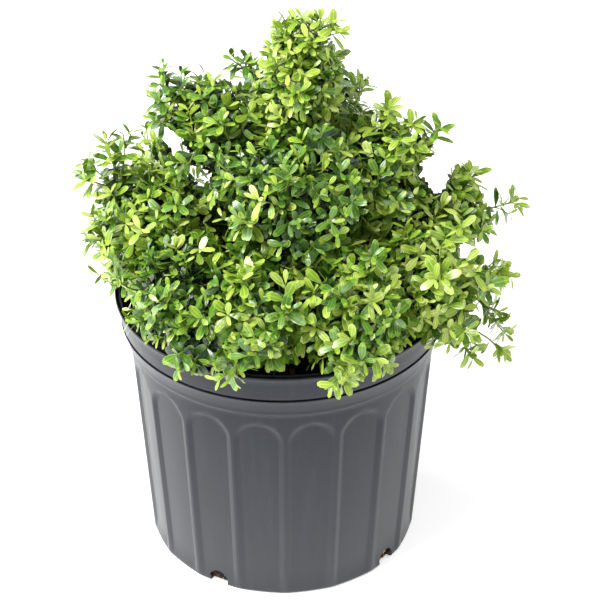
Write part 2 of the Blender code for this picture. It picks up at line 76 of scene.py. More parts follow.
# Camera: where it looks, how far off it stands, how far it looks down, and its focal length
LOOK_AT = Vector((0.0151, 0.0, 0.2240))
CAMERA_DISTANCE = 1.8
CAMERA_ELEVATION = math.radians(32.46)
FOCAL_LENGTH = 128.2

# Light: strength of the white surroundings, and each soft light's name, place, width and power in watts
WORLD_STRENGTH = 0.31
LIGHT_AIM = Vector((0, 0, 0.25))
SOFT_LIGHTS = [
    ("left", (-1.2, -0.85, 1.7), 0.8, 54.0),
    ("front", (0.1, -1.0, 2.0), 1.1, 3.0),
    ("back_left", (-1.5, 0.8, 0.9), 0.9, 15.0),
    ("back_right", (1.4, 0.4, 1.5), 0.9, 10.0),
    ("above", (-0.1, -0.25, 1.15), 0.6, 3.0),
]

# Floor: its glow, which keeps shadows off it, and how far it lies under the pot, so that the two don't touch
FLOOR_GLOW = 0.56
FLOOR_DROP = 0.0002
FLOOR_COLUMNS = 96
FLOOR_RADII = (14.0, 4.0, 1.0, 0.02)

# Pot: a blow-moulded nursery container, 280 mm across its lip
POT_HEIGHT = 0.240
BASE_RADIUS = 0.1157
WALL_TOP_RADIUS = 0.1285
WALL_TOP_Z = 0.1945
WALL_THICKNESS = 0.0027
FLOOR_THICKNESS = 0.0026
CENTRE_RADIUS = 0.001
PANEL_COUNT = 18
PANEL_PITCH = 2 * math.pi / PANEL_COUNT
FIRST_RIB_ANGLE = math.radians(1.5)
RIB_HALF_WIDTH = 0.0011
FLANK_WIDTH = 0.0044
PANEL_RECESS = 0.0021
FOOT_FADE = 0.012
PANEL_FLATNESS = 0.35
ARCH_TOP_Z = 0.1868
ARCH_ROW_STEP = 0.0009
BELOW_ARCH = 0.002
ABOVE_ARCH_Z = 0.1915
WALL_START_Z = 0.006
WALL_ROWS = 18
POT_EDGE_ANGLE = math.radians(50)

# Columns of the pot: share of a rib's half width, shares of a flank's width, and of the rest of a half panel
RIB_COLUMN = 0.55
FLANK_SHARES = (0.12, 0.40, 0.70, 0.92, 1.0)
PANEL_SHARES = (0.05, 0.22, 0.42, 0.62, 0.82)

# In millimetres: the pot's underside as radius and height, its rounded foot as height and inset, and the
# heights of its inner wall
UNDERSIDE_OUTLINE = [(1, 1.6), (94, 1.6), (97, 0)]
FOOT_OUTLINE = [(0, 2.8), (0.6, 1.2), (1.6, 0.4), (3, 0)]
INNER_HEIGHTS = (150, 100, 50, 12, 5)
INNER_GAP = 0.0012
FLOOR_EDGE_RADIUS = 0.105

# The pot's outline above its ribbed wall, in millimetres: radius and height up the collar, over the lip and
# down inside
COLLAR_OUTLINE = [
    (128.5, 194.4), (128.8, 195.1), (129.5, 196.1), (130.2, 197.2), (130.8, 198.2), (131, 198.9),
    (131.1, 199.7), (131.3, 201.2), (132, 203.6), (133.2, 207.5), (134.5, 211.2), (135.3, 212.8),
    (135.6, 213.5), (135.5, 214), (135, 214.2), (133.9, 214.1), (133.6, 214.4), (133.7, 214.8),
    (134.3, 215), (134.8, 215.2), (135.1, 215.8), (135.6, 218.8), (136.2, 222.2), (136.6, 224.8),
    (136.8, 226.2), (137.3, 230), (137.9, 234.5), (138.6, 235.9), (139.5, 236.6), (140, 237.5),
    (140, 238.7), (139.7, 239.4), (139.2, 239.4), (138.8, 238.8), (138.6, 237), (138.3, 235.8),
    (137.6, 235.4), (137, 236), (136.8, 238), (136.6, 239.6), (136.1, 240.3), (135.3, 240.3),
    (134.7, 239.6), (134.4, 238), (133.9, 233), (133, 225), (131.4, 217), (130.6, 211), (129.8, 206),
    (128.6, 199), (125.8, 193.5),
]

# Drain holes that straddle the bottom edge, in four of the panels
DRAIN_ANGLES = [math.radians(angle) for angle in (-28.5, 51.5, 151.5, 231.5)]
DRAIN_RADIUS = 0.0090
DRAIN_HEIGHT = 0.0040
DRAIN_REACH = 0.0180
DRAIN_SIDES = 32

# Potting mix: its dome and lumps, each lump size as its scale and share, and the heights of its side
MIX_TOP_Z = 0.2080
MIX_SETTLING = 0.0018
MIX_DOME = 0.0040
MIX_RADIUS = 0.1284
MIX_COLUMNS = 96
MIX_RINGS = 26
MIX_LUMPS = 0.0016
LUMP_SCALE = 110
CRUMB_SCALE = 260
CRUMB_SHARE = 0.5
MIX_CENTRE_RADIUS = 0.0008
MIX_BOTTOM_Z = FLOOR_THICKNESS + 0.0006
MIX_SIDE_HEIGHTS = (0.010, 0.060, 0.120, 0.180, 0.193)
MIX_SIDE_GAP = 0.0016

# Loose bark chips: how many on top and in each drain hole, their half sizes from least to most, what share
# of these each corner has, their tilt, and how rare the pale ones are
CHIP_COUNT = 520
DRAIN_CHIPS = 26
CHIP_SEED = 77
CHIP_HALF_SIZES = ((0.0025, 0.0070), (0.0015, 0.0032), (0.0006, 0.0014))
CHIP_CORNERS = (0.62, 1.12)
CHIP_WALL_GAP = 0.006
CHIP_LIFT = 0.0006
CHIP_TILT = 0.35
DRAIN_CHIP_TILT = 1.4
DRAIN_CHIP_SIZE = 0.45
DRAIN_CHIP_DEPTH = (0.002, 0.010)
DRAIN_CHIP_TURN = 0.070
DRAIN_CHIP_HEIGHT = (0.0035, 0.0120)
PALE_CHIP_RARITY = 1.3

# Trunk, as in the part's source
TRUNK_FOOT = Vector((0.004, -0.004))
TRUNK_TIP = Vector((0.018, 0.010))
TRUNK_TIP_Z = 0.378
TRUNK_SWAY = 0.004
TRUNK_SWAY_ACROSS = -0.6
TRUNK_RADIUS = 0.0078
TRUNK_TIP_RADIUS = 0.0026
FLARE_RADIUS = 0.0135
FLARE_HEIGHT = 0.005
TRUNK_SIDES = 12
TRUNK_RINGS = 12
TRUNK_RING_CROWDING = 1.35

# Boughs, as in the part's source
BOUGH_BASE_RADIUS = 0.0034
BOUGH_TIP_RADIUS = 0.0017
BOUGH_START_PULL = 0.30
BOUGH_END_PULL = 0.45
BOUGH_RISE = 0.25

# Bark relief, and the collar where a bough leaves the trunk
BARK_SIDES = 28
BARK_STEP = 0.0016
BARK_RELIEF = 0.055
RIDGE_SCALE = 2.6
RIDGE_RISE = 60
KNOT_SCALE = 420
KNOT_SHARE = 0.7
BARK_EDGE_ANGLE = math.radians(60)
BOUGH_COLLAR = 0.0016
BOUGH_COLLAR_FADE = 0.004

# Foliage masses: name, then in millimetres centre, half sizes and height of the bough's foot on the trunk,
# then seed, age of its leaves (partly painted shade: older, darker at the front and middle), and their size
# as a share of the full size
MASSES = [
    ("top", (14, 10, 422), (36, 44, 62), None, 1, 0.2, 0.90),
    ("upper_left", (-54, 32, 360), (63, 64, 60), 296, 2, 0.9, 0.92),
    ("upper_front", (12, -46, 350), (70, 64, 68), 272, 3, 1.2, 0.98),
    ("upper_right", (74, 6, 342), (64, 64, 60), 284, 4, -0.1, 0.92),
    ("upper_back", (12, 76, 358), (66, 64, 64), 288, 5, 0.5, 0.88),
    ("left", (-105, 4, 294), (60, 66, 62), 248, 6, 0.1, 0.96),
    ("left_front", (-74, -74, 278), (54, 62, 50), 232, 7, 1.6, 0.98),
    ("front_left", (-20, -98, 280), (58, 62, 58), 256, 8, 0.6, 1.04),
    ("front_right", (52, -96, 278), (62, 64, 58), 240, 9, 0.4, 1.04),
    ("right_front", (112, -52, 278), (64, 66, 56), 260, 10, -0.3, 1.02),
    ("right", (126, 20, 290), (50, 60, 62), 236, 11, -0.3, 0.96),
    ("right_back", (76, 80, 294), (64, 64, 58), 252, 12, 0.5, 0.84),
    ("back", (-4, 112, 300), (66, 64, 64), 234, 13, 0.3, 0.84),
    ("left_back", (-80, 76, 292), (64, 64, 56), 262, 14, 0.4, 0.84),
]

# Long shoots that stand out of each mass: the point that the last leaf reaches, in millimetres, side shoots,
# age added to its leaves, and how far its tip turns up
LONG_SHOOTS = {
    "top": [
        ((17, 10, 489), 2, 0.3, 0.6), ((47, 8, 486), 3, 0.0, 0.5), ((5, 0, 479), 1, 0.2, 0.5),
        ((33, 12, 488), 1, 0.0, 0.6)],
    "upper_left": [
        ((-101, 30, 431), 3, 1.6, 0.5), ((-110, 22, 410), 2, 1.6, 0.2), ((-86, 32, 423), 2, 2.2, 0.5),
        ((-68, 34, 422), 1, 2.4, 0.6)],
    "upper_back": [
        ((-47, 50, 431), 2, 1.8, 0.1), ((73, 42, 409), 2, 1.0, 0.3)],
    "upper_right": [
        ((63, 20, 431), 1, 0.5, 0.6), ((85, 10, 411), 2, 0.3, 0.6), ((107, 6, 403), 2, 0.5, 0.5),
        ((134, 2, 395), 2, 1.8, 0.3)],
    "left": [
        ((-172, 0, 352), 2, 0.9, 0.1), ((-161, 4, 364), 1, 0.8, 0.5), ((-145, 12, 379), 2, 1.2, 0.5),
        ((-130, 18, 382), 2, 1.5, 0.5), ((-168, -10, 281), 1, 0.2, 0.0), ((-153, -18, 248), 1, 0.4, -0.3)],
    "right": [
        ((207, 18, 318), 3, 0.8, 0.25), ((155, 28, 341), 2, 0.4, 0.8), ((190, -20, 248), 2, 0.5, 0.0)],
    "right_front": [
        ((193, -35, 282), 2, 0.2, 0.3), ((181, -30, 288), 1, 0.4, 0.6), ((190, -58, 221), 3, 0.5, -0.2),
        ((186, -70, 208), 1, 0.5, -0.4), ((157, -78, 209), 2, 0.5, -0.4), ((138, -82, 225), 1, 0.8, -0.4),
        ((179, -50, 243), 1, 0.2, 0.0)],
    "front_right": [
        ((47, -154, 230), 2, 0.0, -0.3), ((80, -150, 253), 1, 0.5, -0.3), ((55, -150, 241), 1, 0.2, -0.3)],
    "front_left": [
        ((-41, -150, 234), 1, 0.0, -0.4), ((-46, -146, 243), 2, 0.6, -0.3),
        ((-35, -140, 246), 1, 3.0, -0.3)],
    "left_front": [
        ((-72, -138, 235), 2, 0.0, -0.4), ((-83, -120, 252), 1, 3.8, -0.3),
        ((-76, -130, 243), 1, 3.6, -0.4), ((-60, -138, 242), 1, 3.4, -0.4),
        ((-52, -132, 247), 1, 4.0, -0.3), ((-91, -108, 255), 1, 1.0, -0.3)],
    "back": [
        ((10, 180, 312), 1, 0.5, 0.3), ((-40, 166, 330), 2, 0.5, 0.3)],
    "right_back": [
        ((130, 140, 290), 2, 0.5, 0.3)],
    "left_back": [
        ((-136, 124, 296), 2, 0.5, 0.3)],
}

# Open gaps between the boughs, where the sky shows, in millimetres: front end, back end and radius
GAPS = [
    ((-96, -30, 403), (-110, 150, 308), 5), ((-89, -30, 395), (-101, 150, 299), 5.8),
    ((-82, -30, 386), (-94, 150, 289), 5.4), ((-76, -30, 377), (-87, 150, 279), 4.5),
    ((-68, -60, 380), (-78, 130, 275), 5.8), ((-60, -60, 378), (-70, 130, 272), 6.2),
    ((-61, -60, 368), (-71, 130, 261), 4.8), ((122, -30, 365), (135, 150, 265), 12.5),
    ((134, -30, 378), (148, 150, 280), 9.2), ((126, -30, 353), (139, 150, 252), 6),
    ((145, -100, 334), (163, 100, 213), 6.6), ((151, -100, 327), (170, 100, 206), 6.2),
    ((158, -100, 340), (178, 100, 220), 4), ((-34, -30, 447), (-39, 140, 362), 5.6),
    ((72, -40, 438), (79, 140, 347), 7), ((-18, -50, 500), (-21, 100, 430), 11.2),
    ((56, -40, 467), (60, 120, 389), 6),
]

# How a mass grows: a stem, branches, and leafy shoots whose tips are spread over the mass in layers
STEM_RADII = (0.0017, 0.0012)
STEM_PAST_CENTRE = 0.15
STEM_ENTRY = 0.62
SEED_STEP = 101
STEM_FOOT = 0.001
STEM_RISE = 0.012
STEM_SAMPLES = 6
BRANCHES_PER_MASS = 22
BRANCH_SHARE = 0.62
BRANCH_RADII = (0.0012, 0.0006)
BRANCH_BEND = 0.55
BRANCH_SAG = 0.08
BRANCH_SAMPLES = 9
BRANCH_BARE_SAMPLES = 2
PATH_SAMPLES = 8
PATH_STEP = 0.01
SHOOT_RADII = (0.00065, 0.00045)
LONG_SHOOT_RADII = (0.00095, 0.00065)
SHOOT_RINGS = 5
SHOOT_SIDES = 3
SHOOT_END_PULL = 0.40
GREEN_SKIN, TAN_SKIN, BARK_SKIN = 0, 1, 2

# A leafy shoot leaves the branch that is near, behind it and under way to it, and its tip turns out and up
SHORTEST_SHOOT = 0.006
DISTANCE_COST = 1.6
OUTWARD_FAVOUR = 0.4
ALONG_FAVOUR = 0.2
SHOOT_START_PULL = 0.25
SHOOT_OUTWARD = 0.7
SHOOT_UP = 0.55
SHOOT_WANDER = 0.4
SHOOT_AGE_SPREAD = 0.9
TAN_SHOOT_AGE = 2.4

# A long shoot: how far its last leaf reaches past it, how far back it looks for a branch, its side shoots
LAST_LEAF_REACH = 0.010
LONG_SHOOT_LOOK_BACK = 0.030
LONG_SHOOT_START_PULL = 0.15
TAN_LONG_SHOOT_AGE = 2.0
FIRST_SIDE_SHOOT = 0.74
SIDE_SHOOT_STEP = 0.13
SIDE_SHOOT_LENGTH = 0.014
SIDE_SHOOT_SPREAD = 0.75
SIDE_SHOOT_START_PULL = 0.3
SIDE_SHOOT_VIGOUR = (0.8, 1.2)
SIDE_SHOOT_LEAVES = 7
SIDE_SHOOT_GAP = 0.0015

# Layers of shoots in a mass: share of its size, shoots, age added to their leaves, and kind of leaf
# The deeper layers' added age is partly painted shade: darker leaves in the crown's depth
LAYERS = [(0.94, 160, 0.0, 0), (0.77, 96, 1.9, 1), (0.58, 66, 3.8, 2), (0.38, 34, 5.2, 2)]
LAYER_JITTER = 0.08
TIP_JITTER = 0.004
GOLDEN_ANGLE = math.pi * (3 - math.sqrt(5))

# Hollows between the sprays, whose shoots are shorter and whose leaves take older, darker shades: painted
# shade in the hollows
HOLLOW_DEPTH = 0.34
HOLLOW_SCALE = 2.5
HOLLOW_SHIFT = 40
HOLLOW_CONTRAST = 0.8
HOLLOW_SHADE_AGE = 4.8
SHADED_HOLLOW = 0.45

# Sprays that stand out all round a mass, for those that the table of long shoots doesn't place
SPRAY_WAYS = 18
SPRAY_REACH = 1.11
SPRAY_JITTER = 0.04
SPRAY_LEAN = 0.35
SPRAY_AGE = 2.2
LOWEST_SPRAY = -0.5

# Room that the foliage keeps: how far it passes its outline and its neighbours' walls, and what it leaves
CROWN_SLACK = 1.08
WALL_OVERLAP = 0.004
LIP_RADIUS = 0.1400
MOUTH_RADIUS = 0.1310
POT_ROOM = 0.0012
MIX_ROOM = 0.003
TRUNK_ROOM = 0.001
BOX_SLACK = (0.006, 0.006, 0.003)

# Leaves of a shoot, counted back from its tip
LEAVES_PER_SHOOT = 10
LONG_SHOOT_LEAVES = 20
LEAF_GAP = 0.0010
LONG_SHOOT_GAP = 0.0020
LEAF_GAP_GROWTH = 0.00018
LEAF_LENGTH = 0.0147
LEAF_WIDTH_SHARE = 0.44
LONG_SHOOT_LEAF = 1.10
YOUNGEST_LEAF = 0.60
YOUNG_LEAVES = 3
TIP_SPREAD = math.radians(42)
FOOT_SPREAD = math.radians(72)
SPREAD_LEAVES = 6
SPREAD_JITTER = 0.16
TURN_JITTER = 0.25
BARE_FOOT = 0.12
LEAF_BEHIND = 0.06
LEAF_AHEAD = 0.02
FIRST_AGE = 0.6
AGE_PER_LEAF = 0.40
AGE_JITTER = 0.35
FACE_UP = 0.75
FACE_OUTWARD = 0.35
NARROW_LEAVES = 2
NARROW_SHARE = 0.85

# From least to most: a shoot's vigour, and each leaf's size, width, fold along its rib and bend to its tip
VIGOUR = (0.86, 1.12)
LEAF_SIZE = (0.88, 1.12)
LEAF_WIDTH = (0.90, 1.10)
LEAF_FOLD = (0.08, 0.45)
LEAF_BEND = (0.06, 0.40)

# Kinds of leaf, from those in full view to those out of sight: its outline, as share of its length and share
# of its half width there, its points across, and whether each strip between them is pale: rib and margin,
# partly their own paler colour and partly a painted sheen
LEAF_KINDS = [
    ([(0.0, 0.08), (0.20, 0.42), (0.50, 0.90), (0.81, 0.88), (1.0, 0.36)],
     (-1.0, -0.80, -0.12, 0.12, 0.80, 1.0), (1, 0, 1, 0, 1)),
    ([(0.0, 0.08), (0.24, 0.50), (0.72, 0.98), (1.0, 0.40)], (-1.0, -0.14, 0.14, 1.0), (0, 1, 0)),
    ([(0.0, 0.12), (0.40, 0.78), (0.78, 0.98), (1.0, 0.36)], (-1.0, 0.0, 1.0), (0, 0)),
]
MARGIN_CURL = 0.80


def metres(values):
    """A row of millimetres in metres."""
    return tuple(value / 1000 for value in values)


sky_gaps = [(Vector(metres(front)), Vector(metres(back)), radius / 1000) for front, back, radius in GAPS]


# Materials

def linear(hex_colour):
    """An sRGB hex colour as linear red, green, blue and alpha."""
    channels = [int(hex_colour[i:i + 2], 16) / 255 for i in (0, 2, 4)]
    return [c / 12.92 if c <= 0.04045 else ((c + 0.055) / 1.055) ** 2.4 for c in channels] + [1.0]


def fill_sockets(node, inputs):
    """Give a node's inputs their values, or links from other nodes' outputs."""
    for name, value in inputs.items():
        if isinstance(value, bpy.types.NodeSocket):
            node.id_data.links.new(value, node.inputs[name])
        else:
            node.inputs[name].default_value = value


def add_node(material, kind, inputs=None, **settings):
    """Add one node to a material: its settings, then its inputs as values or as links."""
    node = material.node_tree.nodes.new(kind)
    for name, value in settings.items():
        setattr(node, name, value)
    fill_sockets(node, inputs or {})
    return node


def set_ramp(ramp, stops):
    """Give a colour ramp its stops: place and sRGB hex colour."""
    elements = ramp.color_ramp.elements
    while len(elements) > 1:
        elements.remove(elements[-1])
    elements[0].position = stops[0][0]
    elements[0].color = linear(stops[0][1])
    for place, colour in stops[1:]:
        elements.new(place).color = linear(colour)


def new_material(name, ior, roughness, more=None):
    """A material with a Principled shader, and that shader."""
    material = bpy.data.materials.new(name)
    material.use_nodes = True
    shader = material.node_tree.nodes["Principled BSDF"]
    fill_sockets(shader, {"IOR": ior, "Roughness": roughness, "Metallic": 0.0} | (more or {}))
    return material, shader


def grain_relief(material, place, scale, strength, distance, detail=2.0, roughness=0.5):
    """Grain that raises the skin by a fraction of a millimetre, for other nodes to use as well."""
    grain = add_node(material, "ShaderNodeTexNoise",
                     {"Vector": place, "Scale": scale, "Detail": detail, "Roughness": roughness})
    relief = add_node(material, "ShaderNodeBump",
                      {"Height": grain.outputs["Fac"], "Strength": strength, "Distance": distance})
    fill_sockets(material.node_tree.nodes["Principled BSDF"], {"Normal": relief.outputs["Normal"]})
    return grain.outputs["Fac"]


def blow_moulded_hdpe():
    """Black polyethylene, blow-moulded: a satin skin with faint streaks down it, fine peel, pale dust specks
    and painted light towards the foot.
    """
    material, shader = new_material("blow_moulded_black_hdpe", 1.53, 0.32,
                                    {"Specular Tint": linear("c0c7d7")})
    place = add_node(material, "ShaderNodeTexCoord").outputs["Object"]
    # Streaks about 6 mm wide and 80 mm tall
    tall = add_node(material, "ShaderNodeMapping", {"Vector": place, "Scale": (1.0, 1.0, 0.08)})
    streaks = add_node(material, "ShaderNodeTexNoise",
                       {"Vector": tall.outputs["Vector"], "Scale": 160.0, "Detail": 4.0, "Roughness": 0.6})
    plastic = add_node(material, "ShaderNodeValToRGB", {"Fac": streaks.outputs["Fac"]})
    set_ramp(plastic, [(0.30, "101113"), (0.52, "16171a"), (0.72, "1f2023")])
    # Painted light: paler towards the foot, where the floor lights the skin and the crown shades it less
    height = add_node(material, "ShaderNodeSeparateXYZ", {"Vector": place})
    painted_foot_light = add_node(material, "ShaderNodeMapRange",
                    {"Value": height.outputs["Z"], "From Min": 0.20, "From Max": 0.0, "To Max": 0.105})
    # Dust specks 0.5 to 1 mm across, about one in each 8 mm
    specks = add_node(material, "ShaderNodeTexNoise",
                      {"Vector": place, "Scale": 620.0, "Detail": 2.0, "Roughness": 0.5})
    dust = add_node(material, "ShaderNodeMapRange",
                    {"Value": specks.outputs["Fac"], "From Min": 0.70, "From Max": 0.78, "To Max": 0.10})
    # Painted light towards the foot plus the real dust specks, as a share of pale grey
    painted_light_and_dust = add_node(material, "ShaderNodeMath", {0: painted_foot_light.outputs["Result"], 1: dust.outputs["Result"]},
                    operation="ADD")
    plastic_with_dust_and_light = add_node(material, "ShaderNodeMix",
                     {"Factor": painted_light_and_dust.outputs["Value"], "A": plastic.outputs["Color"], "B": linear("a3a4a4")},
                     data_type="RGBA")
    rough = add_node(material, "ShaderNodeMapRange",
                     {"Value": streaks.outputs["Fac"], "From Min": 0.3, "From Max": 0.7,
                      "To Min": 0.28, "To Max": 0.38})
    fill_sockets(shader, {"Base Color": plastic_with_dust_and_light.outputs["Result"], "Roughness": rough.outputs["Result"]})
    # Peel of the moulded skin, 1.5 mm across
    grain_relief(material, place, 650.0, 0.12, 0.0004, 3.0)
    return material


def broken_bark(name, roughness, scale, strength, distance, detail, fineness, stops):
    """Pine bark or sapwood: a matt face whose grain gives both its tones and its relief."""
    material, shader = new_material(name, 1.45, roughness)
    place = add_node(material, "ShaderNodeTexCoord").outputs["Object"]
    grain = grain_relief(material, place, scale, strength, distance, detail, fineness)
    tone = add_node(material, "ShaderNodeValToRGB", {"Fac": grain})
    set_ramp(tone, stops)
    fill_sockets(shader, {"Base Color": tone.outputs["Color"]})
    return material


def composted_bark():
    """Composted pine bark: dark, damp, matt crumbs of brown, 5 mm across, darkened further as painted shade
    inside the pot.
    """
    # Near-black tones: the bark's own dark brown, darkened further as painted shade
    return broken_bark("composted_pine_bark_in_painted_shade", 0.92, 200.0, 0.6, 0.0012, 6.0, 0.7,
                       [(0.30, "080605"), (0.50, "120d0a"), (0.66, "1f1610"), (0.80, "35251a")])


def bark_chip(name, dark, light):
    """A chip of pine bark or sapwood, split along its grain: fine dark lines 0.8 mm apart on a matt face."""
    return broken_bark(name, 0.85, 420.0, 0.5, 0.0006, 4.0, 0.65, [(0.35, dark), (0.65, light)])


def holly_bark():
    """Grey-brown bark of a young holly: smooth skin, streaked along the limb, with raised pale pores."""
    material, shader = new_material("smooth_holly_bark", 1.45, 0.80)
    place = add_node(material, "ShaderNodeTexCoord").outputs["Object"]
    # Streaks 2 mm wide and 10 mm long
    tall = add_node(material, "ShaderNodeMapping", {"Vector": place, "Scale": (1.0, 1.0, 0.22)})
    streaks = grain_relief(material, tall.outputs["Vector"], 480.0, 0.5, 0.0005, 5.0, 0.65)
    skin = add_node(material, "ShaderNodeValToRGB", {"Fac": streaks})
    set_ramp(skin, [(0.30, "2e251c"), (0.50, "4a3f31"), (0.68, "6b5f4c")])
    # Pores 1 mm across, 3 mm apart
    pores = add_node(material, "ShaderNodeTexVoronoi", {"Vector": place, "Scale": 330.0, "Randomness": 1.0})
    raised = add_node(material, "ShaderNodeMapRange",
                      {"Value": pores.outputs["Distance"], "From Min": 0.10, "From Max": 0.22,
                       "To Min": 0.5, "To Max": 0.0})
    spotted = add_node(material, "ShaderNodeMix",
                       {"Factor": raised.outputs["Result"], "A": skin.outputs["Color"],
                        "B": linear("857a66")}, data_type="RGBA")
    fill_sockets(shader, {"Base Color": spotted.outputs["Result"]})
    return material


def shoot_skin(name, colour, roughness):
    """The skin of a shoot, green when young and tan when it has turned woody, with a fine grain along it."""
    material, _ = new_material(name, 1.45, roughness, {"Base Color": linear(colour)})
    place = add_node(material, "ShaderNodeTexCoord").outputs["Object"]
    grain_relief(material, place, 1600.0, 0.3, 0.0002)
    return material


def holly_leaf(name, colour, roughness):
    """A leathery leaf under its wax: one plain colour, soft gloss, and a net of veins 0.7 mm apart."""
    wax = {"Coat Weight": 0.5, "Coat Roughness": 0.20}
    material, _ = new_material(name, 1.43, roughness, {"Base Color": linear(colour)} | wax)
    place = add_node(material, "ShaderNodeTexCoord").outputs["Object"]
    grain_relief(material, place, 1400.0, 0.25, 0.0002)
    return material


# Leaf shades from the youngest to the oldest: name, blade, rib and margin, roughness; the rib and margin
# colour is partly their own paler tone and partly a painted sheen
LEAF_SHADES = [
    ("bud", "a5bb40", "c1d27a", 0.38),
    ("young", "93b02e", "b0c85e", 0.36),
    ("fresh", "799c24", "9ab74a", 0.34),
    ("green", "55821a", "769d3c", 0.33),
    ("grown", "3e6515", "5b802e", 0.32),
    ("mature", "284a10", "426427", 0.31),
    ("old", "172e14", "2c4728", 0.30),
    ("oldest", "0d1b0e", "1c3121", 0.30),
]


# Meshes

def mesh_object(name, points, faces, materials, shades=None, smooth=True):
    """An object from points and four-sided faces, each in one of the materials."""
    mesh = bpy.data.meshes.new(name)
    mesh.from_pydata(points, [], np.asarray(faces).tolist(), shade_flat=not smooth)
    if shades is not None:
        mesh.polygons.foreach_set("material_index", shades)
    mesh.update()
    return place_mesh(mesh, *materials)


def grid_faces(rows, columns, closed):
    """Four-sided faces of a grid of points, row by row, closed round its columns or open."""
    across = columns if closed else columns - 1
    row, column = np.meshgrid(np.arange(rows - 1), np.arange(across), indexing="ij")
    a = row * columns + column
    b = row * columns + (column + 1) % columns
    return np.stack([a, b, b + columns, a + columns], axis=-1).reshape(-1, 4)


def ring_mesh(name, points, columns, capped=True):
    """A smooth mesh from rings of points, turned outwards, with its two ends closed or left as they are."""
    bm = bmesh.new()
    verts = [bm.verts.new(point) for point in points]
    for face in grid_faces(len(verts) // columns, columns, True):
        bm.faces.new([verts[i] for i in face])
    if capped:
        bm.faces.new(verts[:columns])
        bm.faces.new(verts[-columns:])
    bmesh.ops.recalc_face_normals(bm, faces=bm.faces)
    mesh = bpy.data.meshes.new(name)
    bm.to_mesh(mesh)
    bm.free()
    mesh.shade_smooth()
    return mesh


def place_mesh(mesh, *materials):
    """An object that shows a mesh in its materials."""
    for material in materials:
        mesh.materials.append(material)
    made = bpy.data.objects.new(mesh.name, mesh)
    bpy.context.scene.collection.objects.link(made)
    return made


def dress(piece, slot, *nodes):
    """The piece moves with the plant and stands for CAD nodes, which it hides; its slot is not used."""
    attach(piece, "root")
    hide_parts(*nodes)


def bezier(points, t):
    """A point on the Bezier curve of any number of control points."""
    points = list(points)
    while len(points) > 1:
        points = [a.lerp(b, t) for a, b in zip(points, points[1:])]
    return points[0]


def points_on(controls, count):
    """Points along a Bezier curve, from its start to its end."""
    return [bezier(controls, i / count) for i in range(count + 1)]


def rings_along(path, ring_count):
    """Rings square to a path: how far along each is, its middle, and two directions across it."""
    side = None
    for i in range(ring_count):
        t = i / (ring_count - 1)
        along = (path(min(1.0, t + PATH_STEP)) - path(max(0.0, t - PATH_STEP))).normalized()
        side = along.orthogonal() if side is None else side - along * side.dot(along)
        side.normalize()
        yield t, path(t), side, along.cross(side)


def tube_points(controls, ring_count, radii, sides):
    """Rings round a Bezier curve, tapering from its start to its end, as a list of points."""
    points = []
    for t, centre, side, other in rings_along(lambda share: bezier(controls, share), ring_count):
        radius = radii[0] + (radii[1] - radii[0]) * t
        for k in range(sides):
            angle = 2 * math.pi * k / sides
            points.append(centre + (side * math.cos(angle) + other * math.sin(angle)) * radius)
    return points


# Pot

def wall_radius(z):
    """Radius of the pot's ribbed wall, which flares upwards."""
    return BASE_RADIUS + (WALL_TOP_RADIUS - BASE_RADIUS) * z / WALL_TOP_Z


def around(radius, angle, z):
    """A point round the pot's axis, with angle zero at the front."""
    return Vector((radius * math.sin(angle), -radius * math.cos(angle), z))


def smooth_step(value):
    """Zero below 0, one above 1, and a smooth rise between."""
    value = np.clip(value, 0.0, 1.0)
    return value * value * (3 - 2 * value)


def pot_column_angles():
    """Angles of the pot's columns, close together where a rib's flanks are."""
    middle_radius = wall_radius(WALL_TOP_Z / 2)
    rib = RIB_HALF_WIDTH / middle_radius
    flank = FLANK_WIDTH / middle_radius
    half = [0.0, rib * RIB_COLUMN, rib]
    half += [rib + flank * share for share in FLANK_SHARES]
    last = half[-1]
    half += [last + (PANEL_PITCH / 2 - last) * share for share in PANEL_SHARES]
    angles = []
    for k in range(PANEL_COUNT):
        centre = FIRST_RIB_ANGLE + k * PANEL_PITCH
        angles += [centre + offset for offset in half] + [centre + PANEL_PITCH / 2]
        angles += [centre + PANEL_PITCH - offset for offset in reversed(half[1:])]
    return np.array(angles)


def panel_recess(angles, z):
    """How far the wall is pressed in at each angle: a flat panel with an arched top between two ribs."""
    radius = wall_radius(z)
    from_middle = (angles - FIRST_RIB_ANGLE) % PANEL_PITCH - PANEL_PITCH / 2
    half_width = PANEL_PITCH / 2 * radius - RIB_HALF_WIDTH
    arch_radius = PANEL_PITCH / 2 * wall_radius(ARCH_TOP_Z) - RIB_HALF_WIDTH
    above_spring = max(0.0, z - (ARCH_TOP_Z - arch_radius))
    inward = half_width - np.hypot(from_middle * radius, above_spring * half_width / arch_radius)
    pressed = np.clip(inward / FLANK_WIDTH, 0.0, 1.0)
    panel_half = PANEL_PITCH / 2 - RIB_HALF_WIDTH / radius
    chord = radius * (1 - math.cos(panel_half) / np.cos(np.clip(from_middle, -panel_half, panel_half)))
    fade = smooth_step(z / FOOT_FADE)
    return pressed * (PANEL_RECESS * fade + PANEL_FLATNESS * np.maximum(chord, 0.0))


def pot_ring(radius, z, angles):
    """One ring of the pot's points."""
    radius = np.broadcast_to(radius, angles.shape)
    return np.stack([radius * np.sin(angles), -radius * np.cos(angles), np.full_like(angles, z)], axis=-1)


